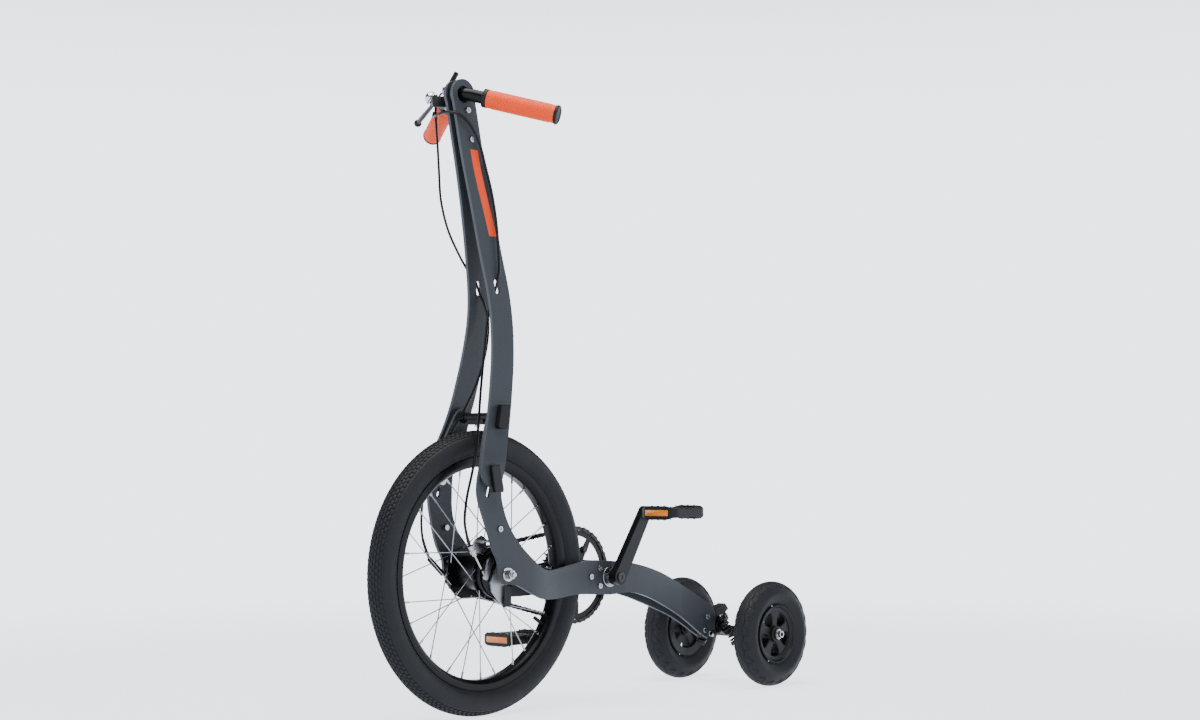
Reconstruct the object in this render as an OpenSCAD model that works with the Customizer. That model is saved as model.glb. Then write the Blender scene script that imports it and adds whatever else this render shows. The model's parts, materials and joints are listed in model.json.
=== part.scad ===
// Stand-up three-wheeled cycle: a large driven front wheel between two S-shaped plates,
// a folding mast that the rider steers and leans with, and a sprung truck with two small wheels.
// Frame: X forward, Y to the rider's left, Z up, ground at Z = 0.
// Modules draw in wheel coordinates, with X = 0 at the front axle, and placed() moves them.

/* [Wheels] */
// Radius of the front tyre on its tread
front_r = 253; // [245:1:262]
// Width of the front tyre
front_tyre_w = 50; // [44:1:54]
// Bead seat diameter of the front rim
bead_d = 406; // [400:1:410]
// Width of the front rim
rim_w = 31; // [27:1:34]
// Number of spokes
spoke_count = 28; // [20:4:36]
// Radius of the rear tyres on their tread
rear_r = 104; // [96:1:112]
// Width of a rear tyre
rear_tyre_w = 50; // [44:1:56]
// Radius of a rear wheel's rim edge
rear_rim_r = 58; // [54:1:62]
// Distance from the front axle to the rear axle
wheelbase = 694; // [670:1:740]
// Distance between the middles of the rear tyres
track = 232; // [226:1:270]

/* [Frame plates] */
// Thickness of each frame and mast plate
plate_t = 6; // [5:0.5:7]
// Width of a mast plate across its profile
mast_w = 51; // [46:1:56]
// Clear width between the frame plates at the front hub
hub_old = 135; // [135:1:140]
// Width of the bottom bracket shell between the plates
shell_w = 68; // [68:1:73]
// Gap between a mast plate and the frame plate inside it
fold_gap = 2.4; // [2:0.2:3.2]
// Radius of the round head of the mast
head_r = 27; // [25:0.5:30]
// Clear width between the mast plates at the head
head_gap = 11; // [10:0.5:14]

/* [Drive] */
// Teeth on the chainring
ring_teeth = 44; // [40:1:44]
// Teeth on the sprocket
cog_teeth = 16; // [14:1:18]
// Length of a crank, spindle to pedal axle
crank_len = 142; // [130:1:150]
// Distance of the chain's middle plane from the middle of the cycle
chain_line = 49.5; // [49:0.5:51]
// Radius of the hub flanges
flange_r = 47; // [44:1:50]
// Distance from the middle of the hub to each flange's middle
flange_y = 32.5; // [31:0.5:34]

/* [Handlebar] */
// Radius of the handlebar tube
bar_r = 11.1; // [10:0.1:12.5]
// Radius of a grip
grip_r = 16.5; // [15:0.5:18]
// Length of a grip
grip_len = 125; // [110:1:135]
// Backward sweep of each arm of the bar
bar_sweep = 30; // [20:1:36]
// Downward slope of each arm of the bar
bar_drop = 15; // [8:1:20]

/* [Pedals] */
// Length of a pedal along the cycle
pedal_l = 98; // [86:1:104]
// Width of a pedal across the cycle
pedal_w = 82; // [74:1:90]
// Thickness of a pedal
pedal_h = 27; // [24:1:30]

/* [Clearances] */
// Radial gap of a shaft that runs in a bore
run_gap = 0.06; // [0.03:0.01:0.1]
// Gap between pieces that are fixed to each other
seat_gap = 0.1; // [0.05:0.05:0.2]
// Radial gap of a bolt in its hole
bolt_gap = 0.2; // [0.15:0.05:0.4]

/* [Hidden] */
$fn = 64;
pitch = 12.7;
axle_r = 5;
bolt_r = 3;
bolt_head_r = 5.2;
bolt_head_h = 3.2;
ground_x = (wheelbase + rear_r - front_r) / 2;
axle_z = front_r;
bb = [-299, 234];
rear_axle = [-wheelbase, rear_r];
fold = [34, 418];
head = [41, 1095];
strut = [-1, 529];
bar_dir = [-sin(bar_sweep) * cos(bar_drop), cos(bar_sweep) * cos(bar_drop), -sin(bar_drop)];
elbow = [head[0], 17, head[1]];
grip_start = 42;
crank_dir = [-0.543, 0.84];
brake_pivot = [24, 276];
brake_pull = [36, 249];
pedal_a = bb + crank_len * crank_dir;
pedal_b = bb - crank_len * crank_dir;
crank_y = 56;
crank_t = 14;
pedal_y = 92;
ring_r = pitch / 2 / sin(180 / ring_teeth);
cog_r = pitch / 2 / sin(180 / cog_teeth);
kingpin = [-672, 118];
kingpin_tilt = 40;

// Middle line of a mast plate, seen from the side, from the fold up to the head
mast_line = [[36, 431], [28, 455], [15, 487], [3, 520], [-7, 555], [-15, 590], [-22, 625],
  [-27.5, 665], [-30, 705], [-27, 754], [-14.5, 824], [2, 911], [21.5, 1000], head];

// Middle of the gap between the mast and the frame plate: [y, z], from the hub up to the head
half_head = head_gap / 2 - fold_gap / 2;
half_hub = hub_old / 2 + plate_t + fold_gap / 2;
side_line = [[half_hub, 100], [half_hub, 285], [half_hub, 312], [half_hub - 1.7, 340],
  [half_hub - 4.7, 367], [half_hub - 7.7, 392], [half_hub - 7.7, 422], [half_hub - 9.7, 447],
  [58.5, 472], [50.5, 510], [43.3, 558], [34.8, 629], [25.8, 700], [20, 753], [13.2, 823],
  [8, 911], [half_head + 0.7, 975], [half_head, 1030], [half_head, 1150]];

// Middle of a frame plate from above, from the hub back to the truck
mid_hub = hub_old / 2 + plate_t / 2;
mid_shell = shell_w / 2 + plate_t / 2;
mid_tail = 8.5;
plan_line = [[60, mid_hub], [-45, mid_hub], [-72, mid_hub - 1.2], [-98, mid_hub - 6], [-122, mid_hub - 13.5],
  [-146, mid_shell + 12.5], [-168, mid_shell + 7.5], [-192, mid_shell + 3.5], [-215, mid_shell + 1.4],
  [-238, mid_shell + 0.3], [-250, mid_shell], [-335, mid_shell], [-350, mid_shell - 0.4], [-400, 33],
  [-450, 27], [-500, 19.5], [-550, 12.5], [-595, mid_tail + 0.6], [-625, mid_tail], [-690, mid_tail]];

// Outline of a frame plate from the side
frame_outline = [[-1, 546], [12, 540], [29, 508], [56, 442], [64, 412], [63, 384], [54, 350],
  [37, 300], [24, 277], [20, 253], [10, 237], [-22, 233], [-60, 216], [-97, 204], [-150, 201.5],
  [-215, 205], [-300, 200], [-363, 201], [-410, 191], [-458, 175], [-538, 142], [-606, 103],
  [-628, 96], [-648, 122], [-645, 153], [-604, 176], [-537, 206], [-459, 235], [-376, 255],
  [-308, 263], [-243, 266], [-176, 258], [-125, 254], [-87, 262], [-45, 291], [-16, 321],
  [1, 352], [8, 390], [4, 435], [-10, 485], [-18, 525], [-12, 542]];

// Routes of the two cable housings, in wheel coordinates
brake_route = [[43, -64, 1072], [56, -52, 1062], [66, -30, 1061], [70, -6, 1062], [66, 12, 1060],
  [52, 18, 1054], [33, 19, 1042], [18, 19, 1024], [6, 18.5, 1002], [-6, 17.5, 970], [-18, 19, 930],
  [-25, 23, 880], [-27, 26.5, 830], [-26.5, 28.8, 795], [-24.5, 28.4, 778], [-24, 24, 762],
  [-22.5, 18.6, 747], [-20, 12.5, 732], [-16, 9, 700], [-6, 10, 640], [8, 16, 580], [24, 26, 520],
  [40, 36, 470], [58, 44, 430], [74, 48, 390], [82, 50, 350], [79, 52.5, 322], [73.2, 52.5, 306.2]];
shift_route = [[32, -54.9, 1107], [33.5, -60, 1101], [37, -65, 1086], [38, -64, 1060],
  [38, -60, 1015], [38.5, -56, 965], [40, -50, 915], [31, -43, 865], [12, -36, 822],
  [-9, -34, 793], [-21, -29.4, 778], [-24, -24, 762], [-26, -18.6, 747], [-29, -12.5, 732],
  [-34, -7, 700], [-24, -3, 650], [-6, -6, 595], [16, -16, 545], [40, -28, 500], [66, -40, 450],
  [84, -48, 400], [88, -53, 360], [84, -55.5, 318], [68, -56.4, 280.6]];

// ---- Curves ----
function cubic(a, b, c, d, t) =
  0.5 * (2 * b + (c - a) * t + (2 * a - 5 * b + 4 * c - d) * t * t
    + (3 * b - a - 3 * c + d) * t * t * t);
function smooth_open(p, n) = [
  for (i = [0:len(p) - 2], k = [0:n - 1])
    cubic(p[max(i - 1, 0)], p[i], p[i + 1], p[min(i + 2, len(p) - 1)], k / n),
  p[len(p) - 1]];
function smooth_loop(p, n) = [
  for (i = [0:len(p) - 1], k = [0:n - 1])
    cubic(p[(i + len(p) - 1) % len(p)], p[i], p[(i + 1) % len(p)], p[(i + 2) % len(p)], k / n)];
function heading(p, i) = p[min(i + 1, len(p) - 1)] - p[max(i - 1, 0)];
function side_of(v) = [v[1], -v[0]] / norm(v);
function offset_line(p, d) = [for (i = [0:len(p) - 1]) p[i] + d * side_of(heading(p, i))];
function backwards(p) = [for (i = [len(p) - 1:-1:0]) p[i]];
function band(p, a, b) = concat(offset_line(p, a), backwards(offset_line(p, b)));

// ---- Helpers ----
module placed() {
  translate([ground_x, 0, 0]) children();
}

module mirror_pair() {
  children();
  mirror([0, 1, 0]) children();
}

// A side profile in X and Z, pushed along Y between y0 and y1
module across(y0, y1) {
  translate([0, y1, 0]) rotate([90, 0, 0]) linear_extrude(y1 - y0) children();
}

// A cylinder along Y between y0 and y1, at a point [x, z]
module pin_y(p, r, y0, y1) {
  translate([p[0], y0, p[1]]) rotate([-90, 0, 0]) cylinder(r = r, h = y1 - y0);
}

// A profile [radius, y] turned about the Y axis through the point [x, z]
module turned(p, profile) {
  translate([p[0], 0, p[1]]) rotate([-90, 0, 0]) rotate_extrude() polygon(profile);
}

// A rod between two points
module rod(a, b, r) {
  v = b - a;
  translate(a) rotate([0, acos(v[2] / norm(v)), atan2(v[1], v[0])]) cylinder(r = r, h = norm(v));
}

// A plate outline that tapers from a circle at a to a circle at b
module taper(a, ra, b, rb) {
  d = norm(b - a);
  turn = atan2(b[1] - a[1], b[0] - a[0]);
  lean = acos((ra - rb) / d);
  translate(a) circle(ra);
  translate(b) circle(rb);
  polygon([a + ra * [cos(turn + lean), sin(turn + lean)], a + ra * [cos(turn - lean), sin(turn - lean)],
    b + rb * [cos(turn - lean), sin(turn - lean)], b + rb * [cos(turn + lean), sin(turn + lean)]]);
}

// A toothed disc outline: a roller seat at each step, and a tooth between two seats
module toothed(teeth, r) {
  step = 360 / teeth;
  corners = [[-0.3, r - 4.1], [0.3, r - 4.1], [0.43, r + 3], [0.57, r + 3]];
  polygon([for (i = [0:teeth - 1], q = corners) q[1] * [cos((i + q[0]) * step), sin((i + q[0]) * step)]]);
}

// A tube of eight sides that follows a smooth route
module cable(route, r) {
  p = smooth_open(route, 3);
  n = len(p);
  sides = 8;
  function frame_of(t) = let(a = norm([t[0], t[2]]) < 0.01 ? [1, 0, 0] : [-t[2], 0, t[0]])
    let(u = a / norm(a)) [u, cross(t / norm(t), u)];
  pts = [for (i = [0:n - 1]) let(f = frame_of(heading(p, i))) for (k = [0:sides - 1])
    p[i] + r * (cos(k * 45) * f[0] + sin(k * 45) * f[1])];
  walls = [for (i = [0:n - 2], k = [0:sides - 1]) let(j = (k + 1) % sides)
    for (f = [[i * sides + k, (i + 1) * sides + k, (i + 1) * sides + j],
      [i * sides + k, (i + 1) * sides + j, i * sides + j]]) f];
  ends = [[for (k = [0:sides - 1]) k], [for (k = [sides - 1:-1:0]) (n - 1) * sides + k]];
  polyhedron(pts, concat(walls, ends));
}

// ---- Frame ----
module side_plate_lower() {
  hole_r = bolt_r + bolt_gap;
  difference() {
    intersection() {
      across(0, 100) polygon(smooth_loop(frame_outline, 3));
      union() {
        translate([-45, 0, 0]) rotate([90, 0, 90]) linear_extrude(140)
          polygon(band(smooth_open(side_line, 3), -fold_gap / 2, -fold_gap / 2 - plate_t));
        intersection() {
          translate([-700, 0, 60]) cube([655, 100, 300]);
          linear_extrude(400) polygon(band(smooth_open(plan_line, 3), plate_t / 2, -plate_t / 2));
        }
      }
    }
    pin_y([0, axle_z], axle_r + bolt_gap, 0, 100);
    pin_y(bb, 17.5, 0, 100);
    pin_y(strut, 3 + bolt_gap, 0, 100);
    pin_y(fold, 6 + bolt_gap, 0, 100);
    across(0, 100) taper([37, 404], 4.2, [41, 392], 4.2);
    for (p = shell_bolts()) pin_y(p, hole_r, 0, 100);
    for (p = truck_bolt_points()) pin_y(p, hole_r, 0, 100);
    pin_y(guide_bolt, hole_r, 0, 100);
  }
}

guide_bolt = [19, 333];
guide_y = hub_old / 2 + plate_t - 2.2;
function shell_bolts() = [bb + [26, 17], bb + [26, -16], bb + [50, 2]];
function truck_bolt_points() = [[-613, 111], [-630, 103], [-622, 137]];

module frame_plate_left() {
  color("#4f545b") placed() side_plate_lower();
}

module frame_plate_right() {
  color("#4f545b") placed() mirror([0, 1, 0]) side_plate_lower();
}

strut_y = 38.6;
module fold_strut() {
  color("#1d1e20") placed() difference() {
    union() {
      pin_y(strut, 8, -strut_y, strut_y);
      pin_y(strut, 10, -strut_y, -strut_y + 9);
      pin_y(strut, 10, strut_y - 9, strut_y);
      translate([strut[0] - 5, -20, strut[1] - 13]) cube([14, 40, 9]);
    }
    pin_y(strut, 2.9, -strut_y - 1, -strut_y + 26);
    pin_y(strut, 2.9, strut_y - 26, strut_y + 1);
    translate([strut[0] + 2, 0, strut[1] - 14]) cylinder(r = 2.7, h = 9);
  }
}

module strut_bolts() {
  color("silver") placed() {
    mirror_pair() pin_y(strut, 2.8, strut_y - 24, strut_y + 8);
    translate([strut[0] + 2, 0, strut[1] - 17]) cylinder(r = 2.6, h = 11);
    translate([strut[0] + 2, 0, strut[1] - 17]) cylinder(r = 4.6, h = 3.5);
  }
}

module bb_shell() {
  half = shell_w / 2 - seat_gap;
  clear_half = front_tyre_w / 2 + 3;
  color("#1d1e20") placed() difference() {
    union() {
      pin_y(bb, 22, -half, half);
      for (p = shell_bolts()) pin_y(p, 7, -half, half);
      across(-half, half) polygon([bb + [8, 20], bb + [28, 22], bb + [56, 6], bb + [56, -3],
        bb + [28, -21], bb + [8, -20]]);
    }
    pin_y(bb, 17.5, -half - 1, half + 1);
    pin_y([0, axle_z], front_r + 7, -clear_half, clear_half);
    for (p = shell_bolts()) pin_y(p, 2.9, -half - 1, half + 1);
  }
}

module frame_bolts() {
  outer = shell_w / 2 + plate_t;
  color("silver") placed() {
    for (p = shell_bolts()) mirror_pair() difference() {
      union() {
        pin_y(p, 2.8, outer - 11, outer + 0.3);
        pin_y(p, bolt_head_r, outer + 0.15, outer + bolt_head_h);
      }
      pin_y(p, 1.8, outer + 1.4, outer + 5);
    }
    mirror_pair() difference() {
      union() {
        pin_y(guide_bolt, bolt_r, guide_y - plate_t - 2, guide_y + 1.8);
        pin_y(guide_bolt, bolt_head_r, guide_y + 1.5, guide_y + 4.2);
        pin_y(guide_bolt, bolt_head_r, guide_y - plate_t - 4.9, guide_y - plate_t - 1.6);
      }
      pin_y(guide_bolt, 1.8, guide_y + 1.8, guide_y + 6);
    }
  }
}

module bb_cartridge() {
  outer = shell_w / 2 + plate_t;
  color("#1d1e20") placed() difference() {
    union() {
      pin_y(bb, 17.4, -outer - 0.5, outer + 0.5);
      mirror_pair() pin_y(bb, 19.5, outer + 0.1, outer + 4);
    }
    pin_y(bb, 8.5 + run_gap, -outer - 5, outer + 5);
  }
}

// ---- Front hub, fixed pieces ----
stub_r = 4;
stub_len = 5.6;
module front_axle() {
  nut_end = hub_old / 2 + plate_t + 11.4;
  color("silver") placed() {
    pin_y([0, axle_z], axle_r, -nut_end, nut_end);
    pin_y([0, axle_z], stub_r, -nut_end - stub_len, nut_end + stub_len);
  }
}

module hex_nut_y(p, flat_r, y0, y1) {
  difference() {
    translate([p[0], y0, p[1]]) rotate([-90, 0, 0]) cylinder(r = flat_r / cos(30), h = y1 - y0, $fn = 6);
    pin_y(p, axle_r + seat_gap, y0 - 1, y1 + 1);
  }
}

module axle_nuts() {
  face = hub_old / 2 + plate_t;
  color("silver") placed() mirror_pair() {
    turned([0, axle_z], [[axle_r + seat_gap, face + 0.1], [13, face + 0.1], [12, face + 2],
      [axle_r + seat_gap, face + 2]]);
    hex_nut_y([0, axle_z], 7.5, face + 2.2, face + 11);
    turned([0, axle_z], [[axle_r + seat_gap, hub_old / 2 - 5], [9, hub_old / 2 - 5],
      [9, hub_old / 2 - 0.1], [axle_r + seat_gap, hub_old / 2 - 0.1]]);
  }
}

module hub_bearings() {
  color("silver") placed() for (y = [-27, 23])
    turned([0, axle_z], [[axle_r + seat_gap, y - 3], [14, y - 3], [14, y + 3], [axle_r + seat_gap, y + 3]]);
}

drum_y = flange_y + 2;
module brake_plate() {
  color("#232427") placed() {
    turned([0, axle_z], [[axle_r + seat_gap, drum_y + 12], [40, drum_y + 12], [41, drum_y + 14.5],
      [30, drum_y + 17], [axle_r + seat_gap, drum_y + 17]]);
    pin_y(brake_pivot, 2.5, drum_y + 15, arm_y + 6);
  }
}

module brake_shoes() {
  color("#4a4640") placed() intersection() {
    turned([0, axle_z], [[27, drum_y + 2], [34.4, drum_y + 2], [34.4, drum_y + 11.7], [27, drum_y + 11.7]]);
    union() {
      translate([-60, 0, axle_z + 5]) cube([120, 80, 60]);
      translate([-60, 0, axle_z - 65]) cube([120, 80, 60]);
    }
  }
}

arm_y = drum_y + 17.2;
module reaction_arm() {
  color("#b9bcc0") placed() difference() {
    across(arm_y, arm_y + 4) polygon([[7, 269], [12, 262], [26, 240], [22, 223], [8, 209], [-4, 198],
      [-16, 198], [-19, 210], [-14, 226], [-15, 246], [-9, 262], [2, 271]]);
    pin_y([0, axle_z], axle_r + seat_gap, arm_y - 1, arm_y + 6);
    pin_y([-10, 204], 2.6 + bolt_gap, arm_y - 1, arm_y + 6);
  }
}

module arm_clip() {
  color("#1d1e20") placed() {
    difference() {
      translate([-19, arm_y + 4.3, 195]) cube([17, 3.6, 18]);
      pin_y([-10, 204], 2.6 + bolt_gap, arm_y, arm_y + 12);
    }
    translate([-19, arm_y + 7.9, 197]) cube([17, 2.2, 35]);
  }
  color("silver") placed() {
    pin_y([-10, 204], 2.6, arm_y - 1, arm_y + 7.7);
    pin_y([-10, 204], 4.6, arm_y - 3.6, arm_y - 0.2);
  }
}

module cable_stop() {
  color("#1d1e20") placed() difference() {
    across(arm_y - 5.6, arm_y - 2.6) polygon([[36, 288], [44, 291], [60, 293], [64, 303], [54, 316],
      [40, 322], [32, 318], [28, 300]]);
    pin_y([36, 312], 2.6, arm_y - 9, arm_y + 1);
  }
  color("silver") placed() {
    pin_y([36, 312], 2.5, arm_y - 8, hub_old / 2 - 0.2);
    pin_y([36, 312], 4.5, arm_y - 2.4, arm_y + 2);
    rod([72.5, 52.5, 305], [61, 52.5, 288], 4);
    rod([67, 52.5, 297], [64, 52.5, 292.5], 5.5);
    rod([61, 52.5, 288], [45.4, 52.5, 264.5], 1.6);
  }
}

module shift_box() {
  inner = chain_line + 7.5;
  color("#1d1e20") placed() {
    turned([0, axle_z], [[axle_r + seat_gap, -inner - 5], [12, -inner - 5], [13, -inner - 3],
      [13, -inner - 0.5], [axle_r + seat_gap, -inner - 0.5]]);
    rod([12.6, -inner - 2.5, axle_z - 4], [34, -inner - 0.5, axle_z - 2], 3.2);
    rod([34, -inner - 0.5, axle_z - 2], [66.8, -56.4, 279], 4.6);
  }
}

// ---- Truck ----
module along_kingpin() {
  translate([kingpin[0], 0, kingpin[1]]) rotate([0, 90 + kingpin_tilt, 0]) children();
}

ear = 24;
spring_top = [-664, 20, 127];
spring_foot = [-672, 42, 88];
spring_len = norm(spring_foot - spring_top);
function spring_at(d) = spring_top + d * (spring_foot - spring_top) / spring_len;
module truck_base() {
  tongue = mid_tail - plate_t / 2 - seat_gap;
  color("#1d1e20") placed() difference() {
    union() {
      across(-tongue, tongue) polygon([[-600, 122], [-612, 97], [-632, 94], [-652, 100], [-664, 122],
        [-668, 146], [-640, 154], [-612, 150]]);
      along_kingpin() for (z = [-ear, ear - 7]) translate([0, 0, z]) cylinder(r = 11, h = 7);
      across(-9, 9) polygon([[-653, 100], [-656, 116], [-672, 134], [-694, 149], [-684, 160],
        [-668, 156], [-653, 150]]);
      mirror_pair() rod(spring_at(-9), spring_at(-0.4), 9);
    }
    along_kingpin() cylinder(r = 4 + bolt_gap, h = 100, center = true);
    along_kingpin() cylinder(r = 13.6, h = 2 * (ear - 6.6), center = true);
    along_kingpin() translate([0, 0, -ear - 30]) cylinder(r = 9, h = 30);
    along_kingpin() translate([0, 0, ear]) cylinder(r = 9, h = 30);
    mirror_pair() rod(spring_at(-0.3), spring_at(30), 10);
    for (p = truck_bolt_points()) pin_y(p, 2.9, -40, 40);
  }
}

module truck_bolts() {
  y = mid_tail + plate_t / 2;
  color("silver") placed() for (p = truck_bolt_points()) mirror_pair() {
    pin_y(p, 2.8, 0.2, y + 0.3);
    pin_y(p, bolt_head_r, y + 0.16, y + bolt_head_h + 0.6);
  }
  color("silver") placed() mirror_pair() rod(spring_at(-12.5), spring_at(-9.1), 4.5);
}

module kingpin_bolt() {
  color("silver") placed() along_kingpin() {
    translate([0, 0, -ear - 6]) cylinder(r = 4, h = 2 * ear + 12);
    translate([0, 0, -ear - 6]) cylinder(r = 7, h = 5.8, $fn = 6);
    translate([0, 0, ear + 0.2]) cylinder(r = 7, h = 5.8, $fn = 6);
  }
}

module truck_springs() {
  color("#1d1e20") placed() mirror_pair() {
    rod(spring_at(0), spring_at(spring_len), 9);
  }
}

module truck_hanger() {
  boss = ear - 7.2;
  tube_end = track / 2 - rear_tyre_w / 2 - 6;
  color("#1d1e20") placed() difference() {
    union() {
      along_kingpin() translate([0, 0, -boss]) cylinder(r = 13, h = 2 * boss);
      pin_y(rear_axle, 11, -tube_end, tube_end);
      across(-9, 9) polygon([[-690, 94], [-674, 104], [-664, 110], [-668, 126], [-680, 124],
        [-696, 114]]);
      mirror_pair() rod(spring_at(spring_len + 0.4), spring_at(spring_len + 8), 10);
      mirror_pair() rod([-694, 50, 94], [-676, 48, 76], 6);
    }
    along_kingpin() cylinder(r = 4 + run_gap, h = 100, center = true);
    along_kingpin() translate([0, 0, boss]) cylinder(r = 14, h = 40);
    along_kingpin() translate([0, 0, -boss - 40]) cylinder(r = 14, h = 40);
    pin_y(rear_axle, axle_r - 1, -200, 200);
  }
  color("silver") placed() pin_y(rear_axle, axle_r - 1.05, -track / 2 - 24, track / 2 + 24);
}

// ---- Rear wheels: the left one, about y = track / 2 ----
rear_half = rear_tyre_w / 2;
module rear_hub() {
  y = track / 2;
  inner_r = rear_rim_r - 17;
  difference() {
    union() {
      turned(rear_axle, [[inner_r, y - 17], [rear_rim_r - 1, y - 19], [rear_rim_r, y - 16],
        [rear_rim_r - 5, y - 13], [rear_rim_r - 5, y + 13], [rear_rim_r, y + 16], [rear_rim_r - 1, y + 19],
        [inner_r, y + 17]]);
      pin_y(rear_axle, 15, y - 21, y + 21);
      for (i = [0:4]) translate([rear_axle[0], 0, rear_axle[1]]) rotate([0, i * 72 + 18, 0])
        translate([0, y - 12, -4]) cube([inner_r + 3, 24, 8]);
    }
    pin_y(rear_axle, axle_r - 1.05 + run_gap, y - 30, y + 30);
    for (i = [0:4]) translate([rear_axle[0], 0, rear_axle[1]]) rotate([0, i * 72 + 18, 0])
      translate([inner_r + 4.5, y + 12, 0]) rotate([-90, 0, 0]) cylinder(r = 3.2, h = 12);
  }
}

module rear_hub_left() {
  color("#202124") placed() rear_hub();
}

module rear_hub_right() {
  color("#202124") placed() mirror([0, 1, 0]) rear_hub();
}

module rear_tyre() {
  y = track / 2;
  mid = rear_r - rear_half;
  bead = rear_rim_r - 5 + seat_gap;
  wall = [for (a = [-58:14.5:238]) [mid + (rear_half) * sin(a), y + rear_half * cos(a)]];
  inside = [for (a = [238:-14.5:-58]) [mid + (rear_half - 5) * sin(a), y + (rear_half - 5) * cos(a)]];
  turned(rear_axle, concat([[bead, y + 12.8]], wall, [[bead, y - 12.8]], inside));
}

module rear_tyre_left() {
  color("#26272a") placed() rear_tyre();
}

module rear_tyre_right() {
  color("#26272a") placed() mirror([0, 1, 0]) rear_tyre();
}

module rear_axle_nuts() {
  color("silver") placed() mirror_pair() difference() {
    union() {
      translate([rear_axle[0], track / 2 + 21.6, rear_axle[1]]) rotate([-90, 0, 0])
        cylinder(r = 7.5, h = 7, $fn = 6);
      pin_y(rear_axle, 9, track / 2 + 21.2, track / 2 + 22.4);
    }
    pin_y(rear_axle, axle_r - 1.05 + seat_gap, track / 2 + 10, track / 2 + 40);
  }
}

// ---- Front wheel ----
bead_r = bead_d / 2;
half_tyre = front_tyre_w / 2;
module front_tyre() {
  mid = front_r - half_tyre;
  wall = [for (a = [-57:14.7:237]) [mid + half_tyre * sin(a), half_tyre * cos(a)]];
  inside = [for (a = [237:-14.7:-57]) [mid + (half_tyre - 4.5) * sin(a), (half_tyre - 4.5) * cos(a)]];
  color("#232427") placed() turned([0, axle_z],
    concat([[bead_r + seat_gap, rim_w / 2 - 2.8]], wall, [[bead_r + seat_gap, 2.8 - rim_w / 2]], inside));
}

valve_turn = 90 - 16.5 * 360 / spoke_count;
module inner_tube() {
  mid = front_r - half_tyre;
  color("#161616") placed() {
    translate([0, 0, axle_z]) rotate([-90, 0, 0]) rotate_extrude() translate([mid, 0]) difference() {
      circle(half_tyre - 4.8);
      circle(half_tyre - 6.3);
    }
    translate([0, 0, axle_z]) rotate([0, valve_turn, 0]) translate([0, 0, bead_r - 38])
      cylinder(r = 3.4, h = 38 + mid - bead_r - half_tyre + 5.2);
  }
}

module front_rim() {
  e = rim_w / 2;
  color("#1b1c1e") placed() difference() {
    turned([0, axle_z], [[bead_r + 3.4, e], [bead_r + 3.4, e - 2], [bead_r, e - 2.1], [bead_r, e - 7],
      [bead_r - 4, e - 9], [bead_r - 4, 9 - e], [bead_r, 7 - e], [bead_r, 2.1 - e],
      [bead_r + 3.4, 2 - e], [bead_r + 3.4, -e], [bead_r - 8, -e], [bead_r - 15, 7 - e],
      [bead_r - 15, e - 7], [bead_r - 8, e]]);
    translate([0, 0, axle_z]) rotate([0, valve_turn, 0]) translate([0, 0, bead_r - 30])
      cylinder(r = 3.4 + bolt_gap, h = 50);
  }
}

spoke_hole_r = flange_r - 2.5;
flange_t = 3.5;
module spokes() {
  step = 360 / spoke_count;
  cross = 4 * step;
  out = flange_y + flange_t / 2 + 2.3;
  in = flange_y - flange_t / 2 - 1.3;
  function at(r, a, y) = [r * cos(a), y, axle_z + r * sin(a)];
  color("#6f7276") placed() for (s = [-1, 1], j = [0:spoke_count / 2 - 1]) {
    a = (2 * j + (s > 0 ? 1 : 0)) * step;
    leads = j % 2 == 0;
    foot = at(spoke_hole_r, leads ? a + cross : a - cross, s * (leads ? out : in));
    tip = at(bead_r - 15.2, a, s * 2.4);
    along = (tip - foot) / norm(tip - foot);
    rod(foot, tip - 11 * along, 1);
    rod(tip - 11 * along, tip - 0.6 * along, 2.1);
  }
}

module hub_shell() {
  f0 = flange_y - flange_t / 2;
  f1 = flange_y + flange_t / 2;
  color("#18191b") placed() difference() {
    turned([0, axle_z], [[19, -f1], [flange_r, -f1], [flange_r, -f0], [30, -f0], [30, f0],
      [flange_r, f0], [flange_r, f1], [42.5, f1], [42.5, f1 + 11.8], [35, f1 + 11.8], [35, f1 + 1.2],
      [14 + run_gap, f1 + 1.2], [14 + run_gap, 19.5], [25, 19.5], [25, -22], [14 + run_gap, -22],
      [14 + run_gap, -30.9], [19, -30.9]]);
    for (s = [-1, 1], j = [0:spoke_count / 2 - 1]) translate([0, 0, axle_z])
      rotate([0, -(2 * j + (s > 0 ? 1 : 0)) * 360 / spoke_count, 0]) translate([spoke_hole_r, s * flange_y, 0])
      rotate([90, 0, 0]) cylinder(r = 1.3, h = 8, center = true, $fn = 16);
  }
}

module gear_core() {
  color("#8d9095") placed() turned([0, axle_z], [[axle_r + 0.5, -18], [24.9, -18], [24.9, 15],
    [axle_r + 0.5, 15]]);
}

module sprocket() {
  color("#55585c") placed() {
    across(-chain_line - 1, -chain_line + 1) difference() {
      translate([0, axle_z]) toothed(cog_teeth, cog_r);
      translate([0, axle_z]) circle(18);
    }
    turned([0, axle_z], [[axle_r + run_gap, -chain_line - 3], [18, -chain_line - 3],
      [18.5, -31.4], [axle_r + run_gap, -31.4]]);
  }
}

// ---- Cranks, chain and pedals ----
module bb_spindle() {
  color("silver") placed() {
    pin_y(bb, 8.5, -52, 50);
    pin_y(bb, 7, -crank_y - crank_t + 3, crank_y + crank_t - 3);
  }
}

module crank_arm(eye) {
  difference() {
    union() {
      across(crank_y, crank_y + crank_t) taper(bb, 15, eye, 11.5);
      pin_y(bb, 15, crank_y - 4, crank_y + crank_t);
    }
    pin_y(bb, 7 + seat_gap, 0, 100);
    pin_y(eye, 6.5 + seat_gap, 0, 100);
  }
}

module crank_left() {
  color("#1b1c1e") placed() crank_arm(pedal_a);
}

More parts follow.
